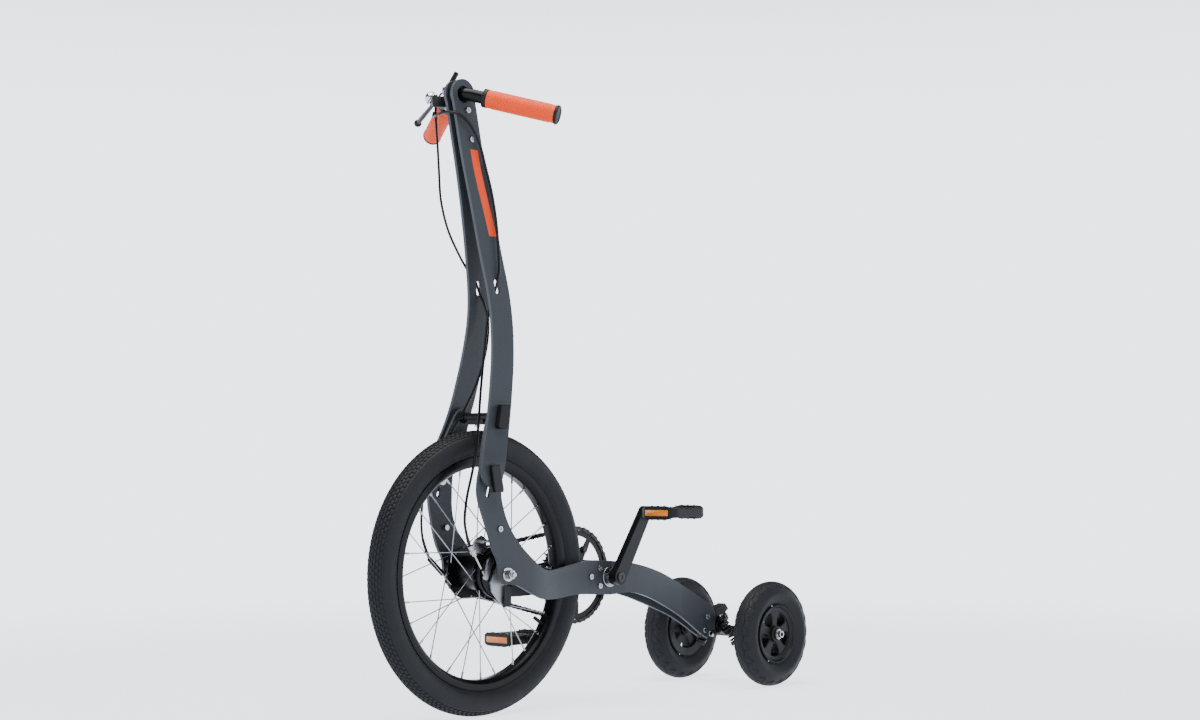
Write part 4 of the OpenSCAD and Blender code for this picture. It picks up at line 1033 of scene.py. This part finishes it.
def blade_section(k):
    """Waisted a third of the way along, where the brake cable passes."""
    t = k / (len(blade_path) - 1)
    deep = 3.9 * (1 - t) + 3.2 * t
    broad = 4.4 - 1.7 * sin(pi * min(t / 0.66, 1.0))
    turns = [2 * pi * i / 24 for i in range(24)]
    return [(broad * bowed(cos(a), 0.7), deep * bowed(sin(a), 0.8)) for a in turns]


blade = tube(blade_path, blade_section, across_arm)
ball_at = on_arm(-1, LEVER_DROP, -41.5, CLAMP_S + 97)
ball_verts = []
for i in range(1, BALL_ROWS):
    b = pi * i / BALL_ROWS
    ball_verts += [place(*(ball_at + BALL_R * Vector((sin(b) * cos(a), sin(b) * sin(a), cos(b)))))
                   for a in (2 * pi * j / BALL_SIDES for j in range(BALL_SIDES))]
ball_faces = quads(BALL_ROWS - 1, BALL_SIDES, rows_close=False) + lids(BALL_ROWS - 1, BALL_SIDES)
EYE = ((2.4, 4.0), (2.8, 4.5), (11, 4.5), (11.4, 4.0))  # (mm below the bar's axis, radius)
eye = tube([on_arm(-1, across, -31, CLAMP_S + 9) for across, r in EYE], lambda k: circle(EYE[k][1], 24))
lever = new_piece("brake_lever_blade", *joined(blade, (ball_verts, ball_faces), eye), forged, degrees=50)
stand_for(lever, "brake_lever")

# %% Bell
BELL_S = 33.0
bell_up = (on_arm(-1, -1, 0, 0) - on_arm(-1, 0, 0, 0)).normalized()
bell_front = (on_arm(-1, 0, -1, 0) - on_arm(-1, 0, 0, 0)).normalized()
bell_at = on_arm(-1, -10, -31, BELL_S)
bell_axis = (bell_front * 0.86 + bell_up * 0.5).normalized()


def along_axis(start, axis, profile, sides=48):
    """(radius, distance) points turned about any axis, in mm."""
    return tube([start + axis * d for _, d in profile], lambda k: circle(max(profile[k][0], 0.02), sides))


DOME = [(11.3, -1.5), (11.5, -0.5), (11.4, 1.5), (10.8, 4), (9.4, 6.6), (7.4, 8.6), (5, 10), (2.6, 10.8),
        (0.02, 11)]
dome = along_axis(bell_at, bell_axis, DOME)
dome_piece = new_piece("bell_dome", *dome, polished, degrees=45)
keep(dome_piece, "mast", slot_of["bell"], "bell")
foot = along_axis(bell_at, bell_axis, [(9.6, -8), (10.6, -7), (10.6, -3), (8.8, -2.6), (8.8, -1.6)])
stalk = rod(on_arm(-1, -9, -24, BELL_S - 4), bell_at - bell_axis * 6, 3.0)
ring_a = along_axis(bell_at, bell_axis, [(11.4, 0.2), (11.9, 0.5), (11.9, 1.4), (11.4, 1.7)])
bell_base = new_piece("bell_base", *joined(foot, stalk, ring_a), nylon)
keep(bell_base, "mast", slot_of["grip_ends"])
print("controls made")

# %% [markdown]
# ## Cables
# A brake cable and a shift cable, each drawn as its plastic housing. They hang in front of
# the mast, go through its slots, and run down inside the fork of the plates to the hub. Both
# cross the fold.

# %% Cables
BRAKE_ROUTE = [[43, -64, 1072], [56, -52, 1062], [66, -30, 1061], [70, -6, 1062], [66, 12, 1060],
               [52, 18, 1054], [33, 19, 1042], [18, 19, 1024], [6, 18.5, 1002], [-6, 17.5, 970],
               [-18, 19, 930], [-25, 23, 880], [-27, 26.5, 830], [-26.5, 28.8, 795], [-24.5, 28.4, 778],
               [-24, 24, 762], [-22.5, 18.6, 747], [-20, 12.5, 732], [-16, 9, 700], [-6, 10, 640],
               [8, 16, 580], [24, 26, 520], [40, 36, 470], [58, 44, 430], [74, 48, 390], [82, 50, 350],
               [79, 52.5, 322], [73.2, 52.5, 306.2]]
SHIFT_ROUTE = [[32, -54.9, 1107], [33.5, -60, 1101], [37, -65, 1086], [38, -64, 1060], [38, -60, 1015],
               [38.5, -56, 965], [40, -50, 915], [31, -43, 865], [12, -36, 822], [-9, -34, 793],
               [-21, -29.4, 778], [-24, -24, 762], [-26, -18.6, 747], [-29, -12.5, 732], [-34, -7, 700],
               [-24, -3, 650], [-6, -6, 595], [16, -16, 545], [40, -28, 500], [66, -40, 450],
               [84, -48, 400], [88, -53, 360], [84, -55.5, 318], [68, -56.4, 280.6]]
for node, route, radius in (("brake_cable", BRAKE_ROUTE, 2.4), ("shift_cable", SHIFT_ROUTE, 2.2)):
    path = smooth(route, 6)
    last = len(path) - 1

    def section(k):
        """Slimmer where the cable leaves its control, thicker in the ferrule at its far end."""
        if k > last - 6:
            return circle(radius + 0.5, 14)
        return circle(radius - 0.5 if k < 9 else radius, 14)

    housing = new_piece(node + "_housing", *tube(path, section), sheath)
    plain(housing)
    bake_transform(housing)
    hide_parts(node)
    print(node, "housing", round(sum((path[k + 1] - path[k]).length for k in range(last))), "mm long")

# %% [markdown]
# ## Chain
# A half-inch chain: 78 links, inner and outer in turn, over a 44-tooth ring and a 16-tooth
# sprocket. The loop of pitch points is worked out from the two pitch circles. Geometry nodes set
# an inner or an outer link on each stretch between two points.

# %% Chain loop
PITCH, LINKS = 12.7, 78
RING_TEETH, COG_TEETH = 44, 16
ring_r, cog_r = PITCH / 2 / sin(pi / RING_TEETH), PITCH / 2 / sin(pi / COG_TEETH)
ring_at, cog_at = Vector((CRANK[0], CRANK[1])), Vector((0.0, AXLE_Z))
gap = cog_at - ring_at
lean = atan2(gap.y, gap.x)
open_angle = pi / 2 - asin((ring_r - cog_r) / gap.length)
loop = []
for k in range(181):
    a = lean + open_angle + (2 * pi - 2 * open_angle) * k / 180
    loop.append(ring_at + ring_r * Vector((cos(a), sin(a))))
for k in range(121):
    a = lean - open_angle + 2 * open_angle * k / 120
    loop.append(cog_at + cog_r * Vector((cos(a), sin(a))))
loop.append(loop[0])
lengths = [0.0]
for k in range(1, len(loop)):
    lengths.append(lengths[-1] + (loop[k] - loop[k - 1]).length)
start_at = ring_r * ((pi - lean - open_angle) % (2 * pi / RING_TEETH))
joints_at = []
for k in range(LINKS):
    want = (start_at + k * lengths[-1] / LINKS) % lengths[-1]
    i = next(j for j in range(1, len(lengths)) if lengths[j] >= want)
    t = (want - lengths[i - 1]) / (lengths[i] - lengths[i - 1])
    joints_at.append(loop[i - 1].lerp(loop[i], t))
print("chain loop", round(lengths[-1], 1), "mm for", LINKS, "links")

# %% Chain links
CHAIN_Y = -49.5


def link_plate(y0, y1, half_height, waist):
    """A figure-of-eight plate of one link, its length along x."""
    outline = []
    for end in (1, -1):
        for k in range(-3, 4):
            a = k * pi / 7
            outline.append((end * (PITCH / 2 + half_height * cos(a)), end * half_height * sin(a)))
        outline.append((0.0, end * waist))
    n = len(outline)
    verts = [Vector((x * MM, y * MM, z * MM)) for y in (y0, y1) for x, z in outline]
    return verts, lids(2, n) + strip(n)


def cross_pin(x, radius, half, sides=10):
    turns = [2 * pi * i / sides for i in range(sides)]
    verts = [Vector(((x + radius * cos(a)) * MM, y * MM, radius * sin(a) * MM))
             for y in (-half, half) for a in turns]
    return verts, lids(2, sides) + strip(sides)


def link(name, inside, outside, half_height, waist, pin_radius, pin_half):
    """Two plates, from inside to outside mm off the chain's middle, with a pin or a roller at each end."""
    return pattern_part(name, *joined(link_plate(inside, outside, half_height, waist),
                                      link_plate(-outside, -inside, half_height, waist),
                                      cross_pin(PITCH / 2, pin_radius, pin_half),
                                      cross_pin(-PITCH / 2, pin_radius, pin_half)))


inner_link = link("inner_link", 1.35, 2.25, 4.1, 3.0, 3.7, 1.3)
outer_link = link("outer_link", 2.4, 3.3, 4.3, 3.3, 1.9, 3.9)
chain_tree, sizes_in = new_tree("links_on_a_loop", [("Inner", "Object"), ("Outer", "Object"),
                                                    ("Finish", "Material")])
ends = add(chain_tree, "GeometryNodeInputMeshEdgeVertices")
run = add(chain_tree, "ShaderNodeVectorMath", {0: ends.outputs["Position 2"], 1: ends.outputs["Position 1"]},
          operation="SUBTRACT")
marked = add(chain_tree, "GeometryNodeStoreNamedAttribute", {"Geometry": sizes_in["Geometry"], "Name": "run",
                                                             "Value": run.outputs[0]},
             data_type="FLOAT_VECTOR", domain="EDGE")
middles = add(chain_tree, "GeometryNodeMeshToPoints", {"Mesh": marked.outputs[0]}, mode="EDGES")
run_of = add(chain_tree, "GeometryNodeInputNamedAttribute", {"Name": "run"}, data_type="FLOAT_VECTOR")
laid = add(chain_tree, "FunctionNodeAlignRotationToVector", {"Vector": run_of.outputs[0]},
           axis="X", pivot_axis="Y")
number = add(chain_tree, "GeometryNodeInputIndex")
parity = add(chain_tree, "ShaderNodeMath", {0: number.outputs[0], 1: 2.0}, operation="MODULO")
other_half = add(chain_tree, "ShaderNodeMath", {0: 1.0, 1: parity.outputs[0]}, operation="SUBTRACT")
gathered = add(chain_tree, "GeometryNodeJoinGeometry")
for label, chosen in (("Inner", parity), ("Outer", other_half)):
    copies = copies_on(chain_tree, middles.outputs[0], sizes_in[label], Selection=chosen.outputs[0],
                       Rotation=laid.outputs[0])
    chain_tree.links.new(copies.outputs[0], gathered.inputs[0])
close_tree(chain_tree, gathered.outputs[0], sizes_in["Finish"])
path = bpy.data.meshes.new("chain_path")
joint_places = [place(p.x, CHAIN_Y, p.y) for p in joints_at]
path.from_pydata(joint_places, [(i, (i + 1) % LINKS) for i in range(LINKS)], [])
chain = grow("roller_chain", chain_tree, {"Inner": inner_link, "Outer": outer_link, "Finish": dark_steel},
             base=path)
discard(inner_link, outer_link)
stand_for(chain, "chain")
print("chain:", len(chain.data.polygons), "faces")

# %% [markdown]
# ## Pedals
# A platform pedal of glass-filled nylon: a ring with rounded corners, deeper in the middle than
# at its ends, a barrel over the axle, cross ribs, small grip pins on top and below, and an amber
# reflector let into its front and back faces.

# %% Pedal body
PEDAL_L, PEDAL_W, PEDAL_H, PEDAL_Y = 98.0, 82.0, 27.0, 92.0


def rounded_box(half_x, half_y, corner, steps=5):
    points = []
    for quarter in range(4):
        cx, cy = ((1, 1), (-1, 1), (-1, -1), (1, -1))[quarter]
        for k in range(steps + 1):
            a = (quarter + k / steps) * pi / 2
            points.append((cx * (half_x - corner) + corner * cos(a), cy * (half_y - corner) + corner * sin(a)))
    return points


def dense(points, longest=6.0):
    out = []
    for i, (x, y) in enumerate(points):
        nx, ny = points[(i + 1) % len(points)]
        n = max(1, int(hypot(nx - x, ny - y) / longest))
        out += [(x + (nx - x) * k / n, y + (ny - y) * k / n) for k in range(n)]
    return out


def half_height(y):
    """Half the height of a pedal, y mm from its middle: deep between the ends and shallow at them."""
    return PEDAL_H / 2 - 0.6 - 4.2 * ramp(abs(y), 22, 41)


def pedal(pedal_x, pedal_z, side):
    """The cage of a pedal in mm: a ring of walls, its ribs and its barrel."""
    middle = PEDAL_Y + PEDAL_W / 2

    def at(x, y, z):
        return place(pedal_x + x, side * (middle + y), pedal_z + z)

    outer = dense(rounded_box(PEDAL_L / 2 - 1.2, PEDAL_W / 2, 13))
    verts = []
    wall = ((0, -1), (0, 1), (1.2, 1), (8.2, 1), (9.2, 1), (9.2, -1), (8.2, -1), (1.2, -1))
    for shrink, level in wall:
        for x, y in outer:
            fx = (PEDAL_L / 2 - 1.2 - shrink) / (PEDAL_L / 2 - 1.2)
            fy = (PEDAL_W / 2 - shrink) / (PEDAL_W / 2)
            soft = 1.1 if shrink in (0, 9.2) else 0.0
            verts.append(at(x * fx, y * fy, level * (half_height(y) - soft)))
    shapes = [(verts, quads(len(wall), len(outer)))]

    def bar(x0, x1, y0, y1, h):
        corners = [at(x, y, z) for z in (-h, h) for x, y in ((x0, y0), (x1, y0), (x1, y1), (x0, y1))]
        return corners, lids(2, 4) + strip(4)

    for x in (-24, 24):
        shapes.append(bar(x - 1.8, x + 1.8, -36, 36, 6.5))
    for y in (-20, 8):
        shapes.append(bar(-41, -8, y - 1.8, y + 1.8, 7.0))
        shapes.append(bar(8, 41, y - 1.8, y + 1.8, 7.0))
    barrel = [(5.1, 35), (8.6, 37), (9.8, 35), (9.8, -34), (11.2, -38), (11.2, -41), (9.6, -43.6), (5.1, -43.6)]
    shapes.append(lathe([(r, side * (middle + y)) for r, y in barrel], pedal_x, pedal_z, 48))
    return shapes


pedals = {}
for word, side, sign in (("left", 1, 1), ("right", -1, -1)):
    px = CRANK[0] - sign * CRANK_LEN * CRANK_BACK
    pz = CRANK[1] + sign * CRANK_LEN * CRANK_UP
    cage = new_piece("pedal_cage_" + word, *joined(*pedal(px, pz, side)), nylon, degrees=40)
    stand_for(cage, "pedal_" + word)
    pedals[word] = (px, pz, side)
print("pedals made")

# %% Pedal reflectors and grip pins
pin_part = pattern_part("grip_pin", *spun([(1.6, -0.6, 0), (1.6, 0.5, 0), (1.2, 1.0, 0), (0.3, 1.0, 0)], 10))
for word, (px, pz, side) in pedals.items():
    middle = PEDAL_Y + PEDAL_W / 2
    shapes = []
    for end in (1, -1):
        face_x = px + end * (PEDAL_L / 2 - 1.3)
        rows = []
        for level, grow_by in ((-1.2, 0.0), (0.4, 0.0), (0.9, -0.7)):
            rows += [place(face_x + end * level, side * middle + y, pz + z)
                     for y, z in rounded_box(27.5 + grow_by, 5.6 + grow_by, 1.6, 3)]
        m = len(rows) // 3
        shapes.append((rows, lids(3, m) + quads(3, m, rows_close=False)))
    lamp = new_piece("pedal_reflectors_" + word, *joined(*shapes), amber)
    keep(lamp, "pedal_" + word, slot_of["pedal_" + word])
    spots = [(end * 43.2, y, up) for up in (1, -1) for end in (1, -1) for y in (-30, -15, 0, 15, 30)]
    pin_places = [place(px + x, side * middle + y, pz + up * half_height(y)) for x, y, up in spots]
    heads = aimed_points("pins", pin_places, [(0, 0, up) for x, y, up in spots], [1.0] * len(spots))
    pins = grow("pedal_pins_" + word, screw_tree, {"Screw": pin_part, "Finish": nylon}, base=heads)
    keep(pins, "pedal_" + word, slot_of["pedal_" + word])
discard(pin_part)

# %% [markdown]
# ## Truck springs
# Two short coil springs keep the truck level. Each runs from the base to the hanger, slanting down
# and outwards. Geometry nodes draw the helix.

# %% Coil springs
coil_tree, sizes_in = new_tree("coil", [("Turns", "Float"), ("Radius", "Float"), ("Length", "Float"),
                                        ("Wire", "Float"), ("Finish", "Material")])
helix = add(coil_tree, "GeometryNodeCurveSpiral", {"Resolution": 28, "Rotations": sizes_in["Turns"],
                                                   "Start Radius": sizes_in["Radius"],
                                                   "End Radius": sizes_in["Radius"],
                                                   "Height": sizes_in["Length"]})
wire = add(coil_tree, "GeometryNodeCurvePrimitiveCircle", {"Resolution": 10, "Radius": sizes_in["Wire"]})
solid = add(coil_tree, "GeometryNodeCurveToMesh", {"Curve": helix.outputs[0], "Profile Curve": wire.outputs[0],
                                                   "Fill Caps": True})
close_tree(coil_tree, solid.outputs[0], sizes_in["Finish"])
END_GAP = 1.7  # from each end to the middle of the wire
spring_meshes = []
for side in (1, -1):
    top, foot = Vector((-664, side * 20, 127)), Vector((-672, side * 42, 88))
    way = (top - foot).normalized()
    height = (top - foot).length - 2 * END_GAP
    coil = grow("coil", coil_tree, {"Turns": 5.5, "Radius": 7.3 * MM, "Length": height * MM, "Wire": 1.65 * MM,
                                    "Finish": black_coat}, degrees=60)
    slant = way.to_track_quat("Z", "Y").to_matrix().to_4x4()
    coil.data.transform(Matrix.Translation(place(*(foot + way * END_GAP))) @ slant)
    spring_meshes.append(coil)
work = bmesh.new()
for coil in spring_meshes:
    work.from_mesh(coil.data)
both_coils = bpy.data.meshes.new("coils")
work.to_mesh(both_coils)
work.free()
both_coils.materials.append(black_coat)
smooth_by_angle(both_coils, 60)
springs = bpy.data.objects.new("truck_coils", both_coils)
scene_objects.link(springs)
discard(*spring_meshes)
plain(springs)
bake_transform(springs)
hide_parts("truck_springs")
print("springs:", len(both_coils.polygons), "faces")

# %% [markdown]
# ## A plain stripe on the mast
# A short orange stripe runs down the outer face of the left mast plate. It is a thin film laid on
# the paint, found by feeling for the plate's surface from the side.

# %% Stripe
feel = welded("mast_plate_left")
plate_tree = BVHTree.FromBMesh(feel)
MAST_LINE = [(-21.0, 850.0), (-13.5, 880.0), (-5.0, 910.0), (3.5, 940.0), (11.0, 970.0), (17.5, 1000.0)]
ACROSS, STEP = range(-3, 4), 3.0  # seven points across, 3 mm apart
FILM_LIFT = 0.18
centre_line = smooth([(x, 0, z) for x, z in MAST_LINE], 8)
verts = []
for spot in centre_line:
    for j in ACROSS:
        x, z = spot.x + j * STEP, spot.z
        hit = plate_tree.ray_cast(place(x, 90, z), Vector((0, -1, 0)))[0]
        hit = hit or place(x, 24, z)
        verts.append(hit + Vector((0, FILM_LIFT * MM, 0)))
faces = quads(len(centre_line), len(ACROSS), rows_close=False, columns_close=False)
feel.free()
film = finish("orange_vinyl_film", "#ec4a08", "#de3c04", 0.40, grain=0.8, relief=0.05, drift=60, spread=0.03,
              depth=ORANGE_DEPTH)
stripe = new_piece("mast_stripe", verts, faces, film)
keep(stripe, "mast", slot_of["grips"])

# %% [markdown]
# ## Studio
# A pale seamless floor and backdrop. The sky is bright round its foot and dark overhead, which
# keeps the upper faces of the cycle from washing out. The floor is a wide disc whose far
# part glows with the very grey of the sky's foot, so the horizon is hard to find. Near the wheels
# it is partly matt paper, and takes a faint shadow.

# %% Floor, sky and lights
SKY = linear("#dde3ee")
SKY_STRENGTH, CEILING_STRENGTH = 4.1, 0.25
world = bpy.data.worlds.new("studio")
bpy.context.scene.world = world
world.use_nodes = True
world.node_tree.nodes.clear()
toward = add(world.node_tree, "ShaderNodeTexCoord")
height = add(world.node_tree, "ShaderNodeSeparateXYZ", {0: toward.outputs["Generated"]})
level = add(world.node_tree, "ShaderNodeMapRange", {"Value": height.outputs["Z"],
                                                    "From Min": 0.16, "From Max": 0.40,
                                                    "To Min": SKY_STRENGTH, "To Max": CEILING_STRENGTH},
            interpolation_type="SMOOTHSTEP")
sky = add(world.node_tree, "ShaderNodeBackground", {"Color": SKY, "Strength": level.outputs[0]})
add(world.node_tree, "ShaderNodeOutputWorld", {"Surface": sky.outputs[0]})

paper = bpy.data.materials.new("matt_backdrop_paper")
paper.use_nodes = True
tree = paper.node_tree
tree.nodes.clear()
spot = add(tree, "ShaderNodeTexCoord")
away = add(tree, "ShaderNodeVectorMath", {0: spot.outputs["Object"]}, operation="LENGTH")
fade = add(tree, "ShaderNodeMapRange", {"Value": away.outputs["Value"], "From Min": 0.9, "From Max": 3.2,
                                        "To Min": 0.62},
           interpolation_type="SMOOTHSTEP")
matt = add(tree, "ShaderNodeBsdfDiffuse", {"Color": linear("#e9eaec")})
glow = add(tree, "ShaderNodeEmission", {"Color": SKY, "Strength": SKY_STRENGTH})
both = add(tree, "ShaderNodeMixShader", {0: fade.outputs[0], 1: matt.outputs[0], 2: glow.outputs[0]})
add(tree, "ShaderNodeOutputMaterial", {"Surface": both.outputs[0]})
FLOOR_R, FLOOR_SIDES, FLOOR_Z = 60, 96, -0.0004  # metres, count, metres
turns = [2 * pi * i / FLOOR_SIDES for i in range(FLOOR_SIDES)]
rim_points = [Vector((FLOOR_R * cos(a), FLOOR_R * sin(a), FLOOR_Z)) for a in turns]
floor = bpy.data.objects.new("floor", bpy.data.meshes.new("floor"))
floor.data.from_pydata(rim_points, [], [list(range(FLOOR_SIDES))])
floor.data.materials.append(paper)
scene_objects.link(floor)


def softbox(name, at, target, size, power):
    """A rectangular light in metres and watts, aimed at a point."""
    light = bpy.data.lights.new(name, "AREA")
    light.shape, light.size, light.size_y, light.energy = "RECTANGLE", size[0], size[1], power
    lamp = bpy.data.objects.new(name, light)
    scene_objects.link(lamp)
    lamp.location = at
    lamp.rotation_mode = "QUATERNION"
    lamp.rotation_quaternion = (Vector(target) - Vector(at)).to_track_quat("-Z", "Y")
    return lamp


softbox("key", (0.5, 0.3, 3.4), (0.1, 0, 0.4), (3.6, 2.8), 300)
softbox("side", (3.0, -1.6, 1.8), (0, 0, 0.5), (1.6, 1.6), 14)
